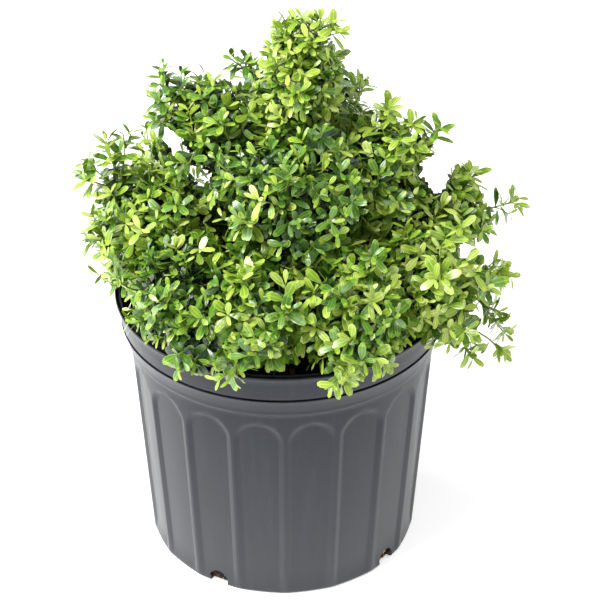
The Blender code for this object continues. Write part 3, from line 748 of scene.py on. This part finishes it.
def make_pot(material):
    """The pot: flat arched panels between ribs, a ledge, a grooved collar and a rolled lip."""
    angles = pot_column_angles()
    spring_z = ARCH_TOP_Z - PANEL_PITCH / 2 * wall_radius(ARCH_TOP_Z)
    rings = [pot_ring(*metres(row), angles) for row in UNDERSIDE_OUTLINE]
    for z, inset in map(metres, FOOT_OUTLINE):
        rings.append(pot_ring(wall_radius(z) - inset - panel_recess(angles, z), z, angles))
    heights = list(np.linspace(WALL_START_Z, spring_z - BELOW_ARCH, WALL_ROWS))
    heights += list(np.arange(spring_z, ARCH_TOP_Z + ARCH_ROW_STEP, ARCH_ROW_STEP)) + [ABOVE_ARCH_Z]
    rings += [pot_ring(wall_radius(z) - panel_recess(angles, z), z, angles) for z in heights]
    rings += [pot_ring(*metres(row), angles) for row in COLLAR_OUTLINE]
    for z in metres(INNER_HEIGHTS):
        rings.append(pot_ring(wall_radius(z) - WALL_THICKNESS - INNER_GAP, z, angles))
    rings += [pot_ring(radius, FLOOR_THICKNESS, angles) for radius in (FLOOR_EDGE_RADIUS, CENTRE_RADIUS)]
    pot = place_mesh(ring_mesh("pot_shell", np.concatenate(rings), len(angles)), material)
    cut_drain_holes(pot)
    pot.data.shade_smooth()
    pot.data.set_sharp_from_angle(angle=POT_EDGE_ANGLE)
    dress(pot, "pot_plastic", "pot")


def cut_drain_holes(pot):
    """Cut the round drain holes through the wall and the floor's edge."""
    cutters = bpy.data.collections.new("drain_cutters")
    bpy.context.scene.collection.children.link(cutters)
    for index, angle in enumerate(DRAIN_ANGLES):
        controls = [around(BASE_RADIUS - DRAIN_REACH, angle, DRAIN_HEIGHT),
                    around(BASE_RADIUS + DRAIN_REACH, angle, DRAIN_HEIGHT)]
        points = tube_points(controls, 2, (DRAIN_RADIUS, DRAIN_RADIUS), DRAIN_SIDES)
        mesh = ring_mesh(f"drain_cutter_{index}", points, DRAIN_SIDES)
        cutters.objects.link(bpy.data.objects.new(mesh.name, mesh))
    boolean = pot.modifiers.new("drain_holes", "BOOLEAN")
    boolean.operation = "DIFFERENCE"
    boolean.solver = "EXACT"
    boolean.operand_type = "COLLECTION"
    boolean.collection = cutters
    depsgraph = bpy.context.evaluated_depsgraph_get()
    cut = bpy.data.meshes.new_from_object(pot.evaluated_get(depsgraph))
    pot.modifiers.remove(boolean)
    pot.data = cut
    for cutter in list(cutters.objects):
        bpy.data.objects.remove(cutter)
    bpy.data.collections.remove(cutters)


# Potting mix

def mix_height(x, y):
    """Height of the potting mix's crumbly top, domed a little round the trunk."""
    share = min(1.0, math.hypot(x, y) / MIX_RADIUS)
    lumps = (noise.noise(Vector((x, y, 0.0)) * LUMP_SCALE)
             + CRUMB_SHARE * noise.noise(Vector((x, y, 1.0)) * CRUMB_SCALE))
    return MIX_TOP_Z - MIX_SETTLING - MIX_DOME * share * share + MIX_LUMPS * lumps


def make_potting_mix(material, chips):
    """The potting mix: a crumbly top and sides, with loose bark chips on top and in the drain holes."""
    angles = np.linspace(0, 2 * math.pi, MIX_COLUMNS, endpoint=False)
    rings = [pot_ring(MIX_CENTRE_RADIUS, MIX_BOTTOM_Z, angles)]
    for z in (MIX_BOTTOM_Z,) + MIX_SIDE_HEIGHTS:
        rings.append(pot_ring(wall_radius(z) - WALL_THICKNESS - MIX_SIDE_GAP, z, angles))
    for radius in np.linspace(MIX_RADIUS, MIX_CENTRE_RADIUS, MIX_RINGS):
        ring = pot_ring(radius, 0.0, angles)
        ring[:, 2] = [mix_height(x, y) for x, y, _ in ring]
        rings.append(ring)
    body = place_mesh(ring_mesh("potting_mix_body", np.concatenate(rings), MIX_COLUMNS, False), material)
    dress(body, "potting_mix", "potting_mix")
    chance = random.Random(CHIP_SEED)
    places = []
    for _ in range(CHIP_COUNT):
        radius = (MIX_RADIUS - CHIP_WALL_GAP) * math.sqrt(chance.random())
        point = around(radius, chance.uniform(0, 2 * math.pi), 0.0)
        point.z = mix_height(point.x, point.y) + CHIP_LIFT
        places.append((point, 1.0, CHIP_TILT))
    for angle in DRAIN_ANGLES:
        for _ in range(DRAIN_CHIPS):
            spot = around(BASE_RADIUS - chance.uniform(*DRAIN_CHIP_DEPTH),
                          angle + chance.uniform(-DRAIN_CHIP_TURN, DRAIN_CHIP_TURN),
                          chance.uniform(*DRAIN_CHIP_HEIGHT))
            places.append((spot, DRAIN_CHIP_SIZE, DRAIN_CHIP_TILT))
    make_chips(places, chance, chips)


def make_chips(places, chance, chips):
    """Loose bark chips: split slabs with uneven corners, lying at the angles that they fell at."""
    verts, faces, shades = [], [], []
    corners = [(x, y, z) for z in (-1, 1) for x, y in ((-1, -1), (1, -1), (1, 1), (-1, 1))]
    sides = [(0, 3, 2, 1), (4, 5, 6, 7), (0, 1, 5, 4), (1, 2, 6, 5), (2, 3, 7, 6), (3, 0, 4, 7)]
    for point, size, tilt in places:
        half = Vector([chance.uniform(*sizes) for sizes in CHIP_HALF_SIZES]) * size
        normal = Vector((chance.gauss(0, tilt), chance.gauss(0, tilt), 1.0)).normalized()
        turned = normal.orthogonal().normalized()
        angle = chance.uniform(0, 2 * math.pi)
        long_way = turned * math.cos(angle) + normal.cross(turned) * math.sin(angle)
        short_way = normal.cross(long_way)
        first = len(verts)
        for x, y, z in corners:
            uneven = [chance.uniform(*CHIP_CORNERS) for _ in range(3)]
            verts.append(point + long_way * (x * half.x * uneven[0]) + short_way * (y * half.y * uneven[1])
                         + normal * (z * half.z * uneven[2]))
        faces += [[first + i for i in side] for side in sides]
        shade = int(chance.random() ** PALE_CHIP_RARITY * len(chips))
        shades += [min(len(chips) - 1, shade)] * len(sides)
    made = mesh_object("bark_chips", verts, faces, chips, shades, smooth=False)
    dress(made, "potting_mix", "potting_mix")


# Trunk and boughs

def trunk_centre(z):
    """Middle of the trunk at a height."""
    share = (z - MIX_TOP_Z) / (TRUNK_TIP_Z - MIX_TOP_Z)
    middle = TRUNK_FOOT.lerp(TRUNK_TIP, share)
    sway = TRUNK_SWAY * math.sin(2 * math.pi * share)
    return Vector((middle.x + sway, middle.y + sway * TRUNK_SWAY_ACROSS, z))


def trunk_radius(z):
    """Radius of the trunk: an even taper, with the root flare at its foot."""
    height = z - MIX_TOP_Z
    share = height / (TRUNK_TIP_Z - MIX_TOP_Z)
    taper = TRUNK_RADIUS + (TRUNK_TIP_RADIUS - TRUNK_RADIUS) * share
    return taper + (FLARE_RADIUS - TRUNK_RADIUS) * math.exp(-height / FLARE_HEIGHT)


def trunk_seat(height, toward):
    """Middle and outward normal of the trunk's flat where the CAD bough leaves it."""
    shares = [(i / (TRUNK_RINGS - 1)) ** TRUNK_RING_CROWDING for i in range(TRUNK_RINGS)]
    heights = [MIX_TOP_Z + (TRUNK_TIP_Z - MIX_TOP_Z) * share for share in shares]
    low = max(i for i in range(TRUNK_RINGS - 1) if heights[i] <= height)
    z = (heights[low] + heights[low + 1]) / 2
    flat_angle = 2 * math.pi / TRUNK_SIDES
    flats = []
    for k in range(TRUNK_SIDES):
        angle = (k + 0.5) * flat_angle
        normal = Vector((math.cos(angle), math.sin(angle), 0))
        middle = trunk_centre(z) + normal * (trunk_radius(z) * math.cos(flat_angle / 2))
        flats.append((normal.dot((toward - middle).normalized()), middle, normal))
    return max(flats, key=lambda flat: flat[0])[1:]


def mass_entry(centre, half_sizes, height):
    """Where the bough ends and the mass's stem starts, and their common direction."""
    if height is None:
        return trunk_centre(TRUNK_TIP_Z), Vector((0, 0, 1))
    outward = (centre - trunk_centre(height)).normalized()
    direction = (outward + Vector((0, 0, BOUGH_RISE))).normalized()
    reach = sum(abs(d) * h for d, h in zip(direction, half_sizes))
    return centre - direction * (reach * STEM_ENTRY), direction


def bough_controls(centre, half_sizes, height):
    """Control points of a bough: square out of the trunk, then rising into its mass."""
    entry, direction = mass_entry(centre, half_sizes, height)
    seat, normal = trunk_seat(height, centre)
    length = (entry - seat).length
    return [seat - normal * BOUGH_COLLAR, seat + normal * (length * BOUGH_START_PULL),
            entry - direction * (length * BOUGH_END_PULL), entry]


def make_limb(name, node, path, radius_at, length, material):
    """A limb with its bark's relief: shallow ridges along it and small knots, closed at both ends."""
    points = []
    for t, centre, side, other in rings_along(path, max(8, int(length / BARK_STEP))):
        radius = radius_at(t)
        for k in range(BARK_SIDES):
            angle = 2 * math.pi * k / BARK_SIDES
            away = side * math.cos(angle) + other * math.sin(angle)
            ridge = noise.noise(Vector((away.x * RIDGE_SCALE, away.y * RIDGE_SCALE, centre.z * RIDGE_RISE)))
            knot = noise.noise((centre + away * radius) * KNOT_SCALE)
            points.append(centre + away * (radius * (1 + BARK_RELIEF * (ridge + KNOT_SHARE * knot))))
    limb = place_mesh(ring_mesh(name, points, BARK_SIDES), material)
    limb.data.set_sharp_from_angle(angle=BARK_EDGE_ANGLE)
    dress(limb, "bark", node)


def make_limbs(material):
    """The trunk from the potting mix to its tip, and each bough from the trunk into its mass."""
    rise = TRUNK_TIP_Z - MIX_TOP_Z
    make_limb("trunk_bark", "trunk", lambda t: trunk_centre(MIX_TOP_Z + rise * t),
              lambda t: trunk_radius(MIX_TOP_Z + rise * t), rise, material)
    for name, place, half_sizes, height, _, _, _ in MASSES:
        if height is None:
            continue
        controls = bough_controls(Vector(metres(place)), metres(half_sizes), height / 1000)
        length = (controls[3] - controls[0]).length

        def bough_radius(t):
            taper = BOUGH_BASE_RADIUS + (BOUGH_TIP_RADIUS - BOUGH_BASE_RADIUS) * t
            return taper + BOUGH_COLLAR * math.exp(-t * length / BOUGH_COLLAR_FADE)

        make_limb(f"bough_bark_{name}", f"bough_{name}", lambda t: bezier(controls, t), bough_radius, length,
                  material)


# Foliage

class Mass:
    """One mass of foliage: its place, its walls to its neighbours, and what has grown in it so far."""

    def __init__(self, name, place, half_sizes, height, seed, age_and_shade, leaf_size):
        self.name = name
        self.centre = Vector(metres(place))
        self.half_sizes = metres(half_sizes)
        self.height = height and height / 1000
        self.age_and_shade = age_and_shade
        self.leaf_size = leaf_size
        self.chance = random.Random(seed * SEED_STEP)
        self.walls = []
        self.leaves = [[] for _ in LEAF_KINDS]
        self.tubes = []
        own = sum(self.half_sizes) / 3
        for other, other_place, sizes, _, _, _, _ in MASSES:
            if other == name:
                continue
            apart = Vector(metres(other_place)) - self.centre
            size = sum(metres(sizes)) / 3
            distance = (apart.length_squared + own ** 2 - size ** 2) / (2 * apart.length)
            self.walls.append((apart.normalized(), distance + WALL_OVERLAP))

    def at(self, way, share):
        """The point in one direction at a share of the way out to the rounded outline."""
        return self.centre + Vector([way[i] * self.half_sizes[i] * share for i in range(3)])

    def inside_walls(self, point):
        """Whether a point is on this mass's side of every wall, or just past it."""
        offset = point - self.centre
        return all(offset.dot(normal) < distance for normal, distance in self.walls)

    def inside_outline(self, point):
        """Whether a point is inside the mass's rounded outline, or just past it."""
        offset = point - self.centre
        return sum((offset[i] / self.half_sizes[i]) ** 2 for i in range(3)) <= CROWN_SLACK ** 2

    def outward(self, point):
        """The way out of the mass at a point: square to its rounded outline."""
        offset = point - self.centre
        return Vector([offset[i] / self.half_sizes[i] ** 2 for i in range(3)]).normalized()


def clear_of_pot(point):
    """Whether a point is over the rim, outside the pot, or inside it and above the potting mix."""
    radius = math.hypot(point.x, point.y)
    if point.z > POT_HEIGHT + POT_ROOM or radius > LIP_RADIUS + POT_ROOM:
        return True
    return radius < MOUTH_RADIUS - POT_ROOM and point.z > MIX_TOP_Z + MIX_ROOM


def clear_of_trunk(point):
    """Whether a point is away from the trunk."""
    if point.z > TRUNK_TIP_Z:
        return True
    z = max(point.z, MIX_TOP_Z)
    middle = trunk_centre(z)
    return math.hypot(point.x - middle.x, point.y - middle.y) > trunk_radius(z) + TRUNK_ROOM


def clear_of_gaps(point):
    """Whether a point is outside every open gap of the crown."""
    for front, back, radius in sky_gaps:
        along = back - front
        offset = point - front
        share = max(0.0, min(1.0, offset.dot(along) / along.length_squared))
        if (offset - along * share).length < radius:
            return False
    return True


def clear_path(points):
    """Whether a curve's points keep out of the pot and of the open gaps."""
    return all(clear_of_pot(point) and clear_of_gaps(point) for point in points)


def inside_box(point):
    """Whether a point is inside the CAD model's box, or no further past it than a leaf's tip may be."""
    low, high = cad_box
    return all(low[i] - BOX_SLACK[i] <= point[i] <= high[i] + BOX_SLACK[i] for i in range(3))


def spread_directions(count, turn):
    """Directions spread evenly all round."""
    for k in range(count):
        rise = 1 - 2 * (k + 0.5) / count
        flat = math.sqrt(1 - rise * rise)
        angle = k * GOLDEN_ANGLE + turn
        yield Vector((flat * math.cos(angle), flat * math.sin(angle), rise))


def branch_controls(stem, target):
    """A branch leaves the stem, goes out with a slight sag, and turns upwards to its tip."""
    middle = (stem[0] + stem[1]) / 2
    axis = stem[1] - stem[0]
    share = 0.5 + 0.5 * max(-0.6, min(1.0, (target - middle).dot(axis) / axis.length_squared))
    start = stem[0].lerp(stem[1], share)
    reach = target - start
    return [start, start + reach * BRANCH_BEND - Vector((0, 0, BRANCH_SAG * reach.length)), target]


def grow_mass(mass):
    """Stem, branches, long shoots, and a leafy shoot to each tip point of each layer."""
    chance = mass.chance
    entry, direction = mass_entry(mass.centre, mass.half_sizes, mass.height)
    stem = (entry, mass.centre + (mass.centre - entry) * STEM_PAST_CENTRE)
    controls = [entry - direction * STEM_FOOT, entry + direction * STEM_RISE, stem[1]]
    mass.tubes.append((controls, STEM_RADII, BARK_SKIN))
    samples = [(point, direction) for point in points_on(controls, STEM_SAMPLES)[1:]]
    for way in spread_directions(BRANCHES_PER_MASS, chance.uniform(0, 2 * math.pi)):
        target = mass.at(way, BRANCH_SHARE)
        controls = branch_controls(stem, target)
        points = points_on(controls, BRANCH_SAMPLES)
        if not (mass.inside_walls(target) and clear_of_pot(target) and clear_path(points)):
            continue
        mass.tubes.append((controls, BRANCH_RADII, TAN_SKIN))
        for before, point in zip(points[BRANCH_BARE_SAMPLES:], points[BRANCH_BARE_SAMPLES + 1:]):
            samples.append((point, (point - before).normalized()))
    for tip, side_shoots, extra_age_and_shade, lean in LONG_SHOOTS.get(mass.name, ()):
        grow_long_shoot(mass, samples, Vector(metres(tip)), side_shoots, extra_age_and_shade, lean)
    for way in spread_directions(SPRAY_WAYS, chance.uniform(0, 2 * math.pi)):
        tip = mass.at(way, SPRAY_REACH + chance.uniform(-SPRAY_JITTER, SPRAY_JITTER))
        if mass.inside_walls(tip) and clear_path([tip]) and way.z > LOWEST_SPRAY:
            grow_long_shoot(mass, samples, tip, 1, chance.uniform(0.0, SPRAY_AGE), SPRAY_LEAN)
    # Deeper layers and hollows get older, darker leaves: partly real age, partly painted shade
    for share, count, extra_age_and_shade, kind in LAYERS:
        for way in spread_directions(count, chance.uniform(0, 2 * math.pi)):
            swell = noise.noise(way * HOLLOW_SCALE + mass.centre * HOLLOW_SHIFT)
            hollow = min(1.0, max(0.0, 0.5 + HOLLOW_CONTRAST * swell))
            depth = share * (1 - HOLLOW_DEPTH * hollow)
            depth += chance.uniform(-LAYER_JITTER, LAYER_JITTER)
            tip = mass.at(way, depth) + Vector([chance.uniform(-1, 1) * TIP_JITTER for _ in range(3)])
            if mass.inside_walls(tip) and clear_of_trunk(tip) and clear_path([tip]):
                # Painted shade: leaves in the hollows take older, darker shades
                hollow_shade = HOLLOW_SHADE_AGE * max(0.0, hollow - SHADED_HOLLOW)
                grow_shoot(mass, samples, tip, extra_age_and_shade + hollow_shade, kind)


def grow_shoot(mass, samples, tip, extra_age_and_shade, kind):
    """One leafy shoot, from the nearest branch behind its tip."""
    chance = mass.chance
    outward = mass.outward(tip)

    def cost(sample):
        reach = tip - sample[0]
        distance = reach.length
        if distance < SHORTEST_SHOOT:
            return math.inf
        return distance * (DISTANCE_COST - OUTWARD_FAVOUR * reach.dot(outward) / distance
                           - ALONG_FAVOUR * reach.dot(sample[1]) / distance)

    start, along = min(samples, key=cost)
    wander = Vector([chance.uniform(-SHOOT_WANDER, SHOOT_WANDER) for _ in range(3)])
    heading = (outward * SHOOT_OUTWARD + Vector((0, 0, SHOOT_UP)) + wander).normalized()
    length = (tip - start).length
    controls = [start, start + along * (length * SHOOT_START_PULL),
                tip - heading * (length * SHOOT_END_PULL), tip]
    if clear_path(points_on(controls, PATH_SAMPLES)):
        age_and_shade = mass.age_and_shade + extra_age_and_shade + chance.gauss(0.0, SHOOT_AGE_SPREAD)
        mass.tubes.append((controls, SHOOT_RADII, GREEN_SKIN if age_and_shade < TAN_SHOOT_AGE else TAN_SKIN))
        set_leaves(mass, controls, length, LEAVES_PER_SHOOT, LEAF_GAP, age_and_shade, False, kind)


def grow_long_shoot(mass, samples, tip, side_shoots, extra_age_and_shade, lean):
    """A long slender shoot out of the crown, leafy along its outer part, with its side shoots."""
    chance = mass.chance
    outward = (tip - mass.centre).normalized()
    heading = (outward + Vector((0, 0, lean))).normalized()
    end = tip - heading * LAST_LEAF_REACH
    behind = end - heading * LONG_SHOOT_LOOK_BACK
    point, along = min(samples, key=lambda sample: (behind - sample[0]).length)
    length = (end - point).length
    controls = [point, point + (along + outward) * (length * LONG_SHOOT_START_PULL),
                end - heading * (length * SHOOT_END_PULL), end]
    if not all(map(clear_of_gaps, points_on(controls, PATH_SAMPLES))):
        return
    skin = GREEN_SKIN if extra_age_and_shade < TAN_LONG_SHOOT_AGE else TAN_SKIN
    mass.tubes.append((controls, LONG_SHOOT_RADII, skin))
    age_and_shade = mass.age_and_shade + extra_age_and_shade
    set_leaves(mass, controls, length, LONG_SHOOT_LEAVES, LONG_SHOOT_GAP, age_and_shade, True, 0)
    across = outward.cross(Vector((0, 0, 1))).normalized()
    other = across.cross(outward)
    for k in range(side_shoots):
        start = bezier(controls, FIRST_SIDE_SHOOT - SIDE_SHOOT_STEP * k)
        angle = k * GOLDEN_ANGLE + chance.uniform(0, 1)
        away = across * math.cos(angle) + other * math.sin(angle)
        way = (outward + away * SIDE_SHOOT_SPREAD).normalized()
        length = SIDE_SHOOT_LENGTH * chance.uniform(*SIDE_SHOOT_VIGOUR)
        side_tip = start + way * length
        side_controls = [start, start + outward * (length * SIDE_SHOOT_START_PULL),
                         side_tip - way * (length * SHOOT_END_PULL), side_tip]
        if clear_path(points_on(side_controls, PATH_SAMPLES)) and inside_box(side_tip):
            mass.tubes.append((side_controls, SHOOT_RADII, GREEN_SKIN))
            set_leaves(mass, side_controls, length, SIDE_SHOOT_LEAVES, SIDE_SHOOT_GAP, age_and_shade, True, 0)


def set_leaves(mass, controls, length, count, gap, age_and_shade, is_long, kind):
    """Set leaves back from a shoot's tip: small and crowded there, further down wide apart and spreading."""
    chance = mass.chance
    turn = chance.uniform(0, 2 * math.pi)
    vigour = chance.uniform(*VIGOUR)
    for i in range(count):
        share = 1 - (gap * i + LEAF_GAP_GROWTH * i * i) / length
        if share < BARE_FOOT:
            break
        root = bezier(controls, share)
        before = bezier(controls, max(0.0, share - LEAF_BEHIND))
        along = (bezier(controls, min(1.0, share + LEAF_AHEAD)) - before).normalized()
        side = along.orthogonal().normalized()
        other = along.cross(side)
        angle = turn + i * GOLDEN_ANGLE + chance.uniform(-TURN_JITTER, TURN_JITTER)
        away = side * math.cos(angle) + other * math.sin(angle)
        grown = min(1.0, YOUNGEST_LEAF + (1 - YOUNGEST_LEAF) * i / YOUNG_LEAVES)
        spread = TIP_SPREAD + (FOOT_SPREAD - TIP_SPREAD) * min(1.0, i / SPREAD_LEAVES)
        spread += chance.uniform(-SPREAD_JITTER, SPREAD_JITTER)
        aim = (along * math.cos(spread) + away * math.sin(spread)).normalized()
        face = along * math.sin(spread) - away * math.cos(spread)
        normal = face + Vector((0, 0, FACE_UP)) + mass.outward(root) * FACE_OUTWARD
        size = LEAF_LENGTH * mass.leaf_size * vigour * grown * chance.uniform(*LEAF_SIZE)
        size *= LONG_SHOOT_LEAF if is_long else 1.0
        tip = root + aim * size
        middle = root + aim * (size * 0.5)
        if not (clear_path([tip]) and clear_of_pot(middle) and clear_of_trunk(tip) and inside_box(tip)):
            continue
        if not is_long and not (mass.inside_walls(tip) and mass.inside_outline(tip)):
            continue
        # A leaf's shade: its real age along the shoot, plus painted shade from deep layers, hollows and
        # front masses
        shade = int(age_and_shade + AGE_PER_LEAF * i + chance.gauss(0, AGE_JITTER) + FIRST_AGE)
        shade = max(0, min(len(LEAF_SHADES) - 1, shade))
        fold = chance.uniform(*LEAF_FOLD)
        bend = chance.uniform(*LEAF_BEND)
        width = size * LEAF_WIDTH_SHARE * chance.uniform(*LEAF_WIDTH)
        width *= NARROW_SHARE if i < NARROW_LEAVES else 1.0
        mass.leaves[kind].append((root, aim, normal, size, width, fold, bend, shade))


def leaf_sheets(leaves, outline, across, strips):
    """Points, faces and material numbers of many leaves: small sheets in their own outline."""
    columns = [np.array(column)[:, None, None] for column in zip(*leaves)]
    roots, aims, normals, sizes, widths, folds, bends, shades = columns
    normals -= aims * np.sum(normals * aims, axis=-1, keepdims=True)
    normals /= np.linalg.norm(normals, axis=-1, keepdims=True)
    sides = np.cross(aims, normals)
    outline = np.array(outline)[None, :, None]
    across = np.array(across)
    along = outline[..., 0] * np.ones(len(across))
    wide = outline[..., 1] * across * (widths / 2)
    rise = folds * np.abs(wide) * (1 - MARGIN_CURL * across ** 2) - bends * sizes * along ** 2
    points = (roots + aims * (along * sizes)[..., None] + sides * wide[..., None]
              + normals * rise[..., None])
    per_leaf = along.size
    rows = along.shape[1]
    faces = grid_faces(rows, len(across), False) + (np.arange(len(leaves)) * per_leaf)[:, None, None]
    # The last strip before a leaf's tip takes the next younger, paler shade: a painted sheen at the tip
    tip_sheen = np.repeat(np.arange(rows - 1) == rows - 2, len(strips))
    indices = np.maximum(shades[:, 0] - tip_sheen, 0) * 2 + np.tile(strips, rows - 1)
    return points.reshape(-1, 3), faces.reshape(-1, 4), indices.ravel()


def make_leaves(mass, materials):
    """All the leaves of a mass as one mesh, those out of sight with fewer faces."""
    points, faces, indices = [], [], []
    first = 0
    for leaves, kind in zip(mass.leaves, LEAF_KINDS):
        sheets = leaf_sheets(leaves, *kind)
        points.append(sheets[0])
        faces.append(sheets[1] + first)
        indices.append(sheets[2])
        first += len(sheets[0])
    made = mesh_object(f"leaves_{mass.name}", np.concatenate(points), np.concatenate(faces), materials,
                       np.concatenate(indices))
    dress(made, "foliage", f"foliage_{mass.name}")


def make_twigs(mass, materials):
    """The stem, branches and shoots of a mass as one mesh."""
    points, faces, indices = [], [], []
    tube_faces = grid_faces(SHOOT_RINGS, SHOOT_SIDES, True)
    for controls, radii, skin in mass.tubes:
        faces.append(tube_faces + len(points))
        indices += [skin] * len(tube_faces)
        points += tube_points(controls, SHOOT_RINGS, radii, SHOOT_SIDES)
    made = mesh_object(f"twigs_{mass.name}", points, np.concatenate(faces), materials, indices)
    dress(made, "foliage", f"foliage_{mass.name}")


def make_foliage(bark):
    """Every mass of the crown."""
    leaf_materials = []
    for name, blade, rib, roughness in LEAF_SHADES:
        leaf_materials.append(holly_leaf(f"{name}_holly_leaf_blade", blade, roughness))
        # Pale strips of rib and margin: their own paler colour with a painted sheen
        leaf_materials.append(holly_leaf(f"{name}_holly_leaf_rib", rib, roughness))
    skins = [shoot_skin("green_shoot_skin", "8fa944", 0.50),
             shoot_skin("tan_twig_skin", "57492f", 0.75), bark]
    for row in MASSES:
        mass = Mass(*row)
        grow_mass(mass)
        make_leaves(mass, leaf_materials)
        make_twigs(mass, skins)


# Studio

def make_floor():
    """A plain white floor that runs out of sight on every side."""
    material, _ = new_material("matt_white_floor", 1.45, 0.9, {
        "Base Color": linear("f4f4f4"), "Emission Color": linear("ffffff"), "Emission Strength": FLOOR_GLOW})
    angles = np.linspace(0, 2 * math.pi, FLOOR_COLUMNS, endpoint=False)
    rings = [pot_ring(radius, -FLOOR_DROP, angles) for radius in FLOOR_RADII]
    faces = grid_faces(len(rings), FLOOR_COLUMNS, True)
    floor = mesh_object("floor", np.concatenate(rings), faces, [material])


def make_soft_light(name, place, size, power):
    """A square soft light that faces the plant."""
    light = bpy.data.lights.new(name, "AREA")
    light.shape = "SQUARE"
    light.size = size
    light.energy = power
    made = bpy.data.objects.new(name, light)
    made.location = place
    made.rotation_mode = "QUATERNION"
    made.rotation_quaternion = (Vector(place) - LIGHT_AIM).to_track_quat("Z", "Y")
    bpy.context.scene.collection.objects.link(made)


def make_studio():
    """White surroundings with soft lights above and at both sides, and the camera."""
    world = bpy.data.worlds.new("white_studio")
    world.use_nodes = True
    background = world.node_tree.nodes["Background"]
    background.inputs["Color"].default_value = (1.0, 1.0, 1.0, 1.0)
    background.inputs["Strength"].default_value = WORLD_STRENGTH
    bpy.context.scene.world = world
    for name, place, size, power in SOFT_LIGHTS:
        make_soft_light(f"soft_light_{name}", place, size, power)
    camera = bpy.data.objects.new("camera", bpy.data.cameras.new("camera"))
    back = Vector((0, -math.cos(CAMERA_ELEVATION), math.sin(CAMERA_ELEVATION)))
    camera.location = LOOK_AT + back * CAMERA_DISTANCE
    camera.rotation_mode = "QUATERNION"
    camera.rotation_quaternion = back.to_track_quat("Z", "Y")
    camera.data.lens = FOCAL_LENGTH
    bpy.context.scene.collection.objects.link(camera)
    bpy.context.scene.camera = camera
    bpy.context.scene.view_settings.view_transform = "Standard"


make_studio()
make_floor()
make_pot(blow_moulded_hdpe())
make_potting_mix(composted_bark(), [
    bark_chip("dark_bark_chip", "1a120d", "33231a"),
    bark_chip("brown_bark_chip", "2e1c12", "553623"),
    bark_chip("red_bark_chip", "4a2a18", "7a4a2a"),
    bark_chip("tan_sapwood_chip", "a57c42", "d9b878"),
])
limb_bark = holly_bark()
make_limbs(limb_bark)
make_foliage(limb_bark)
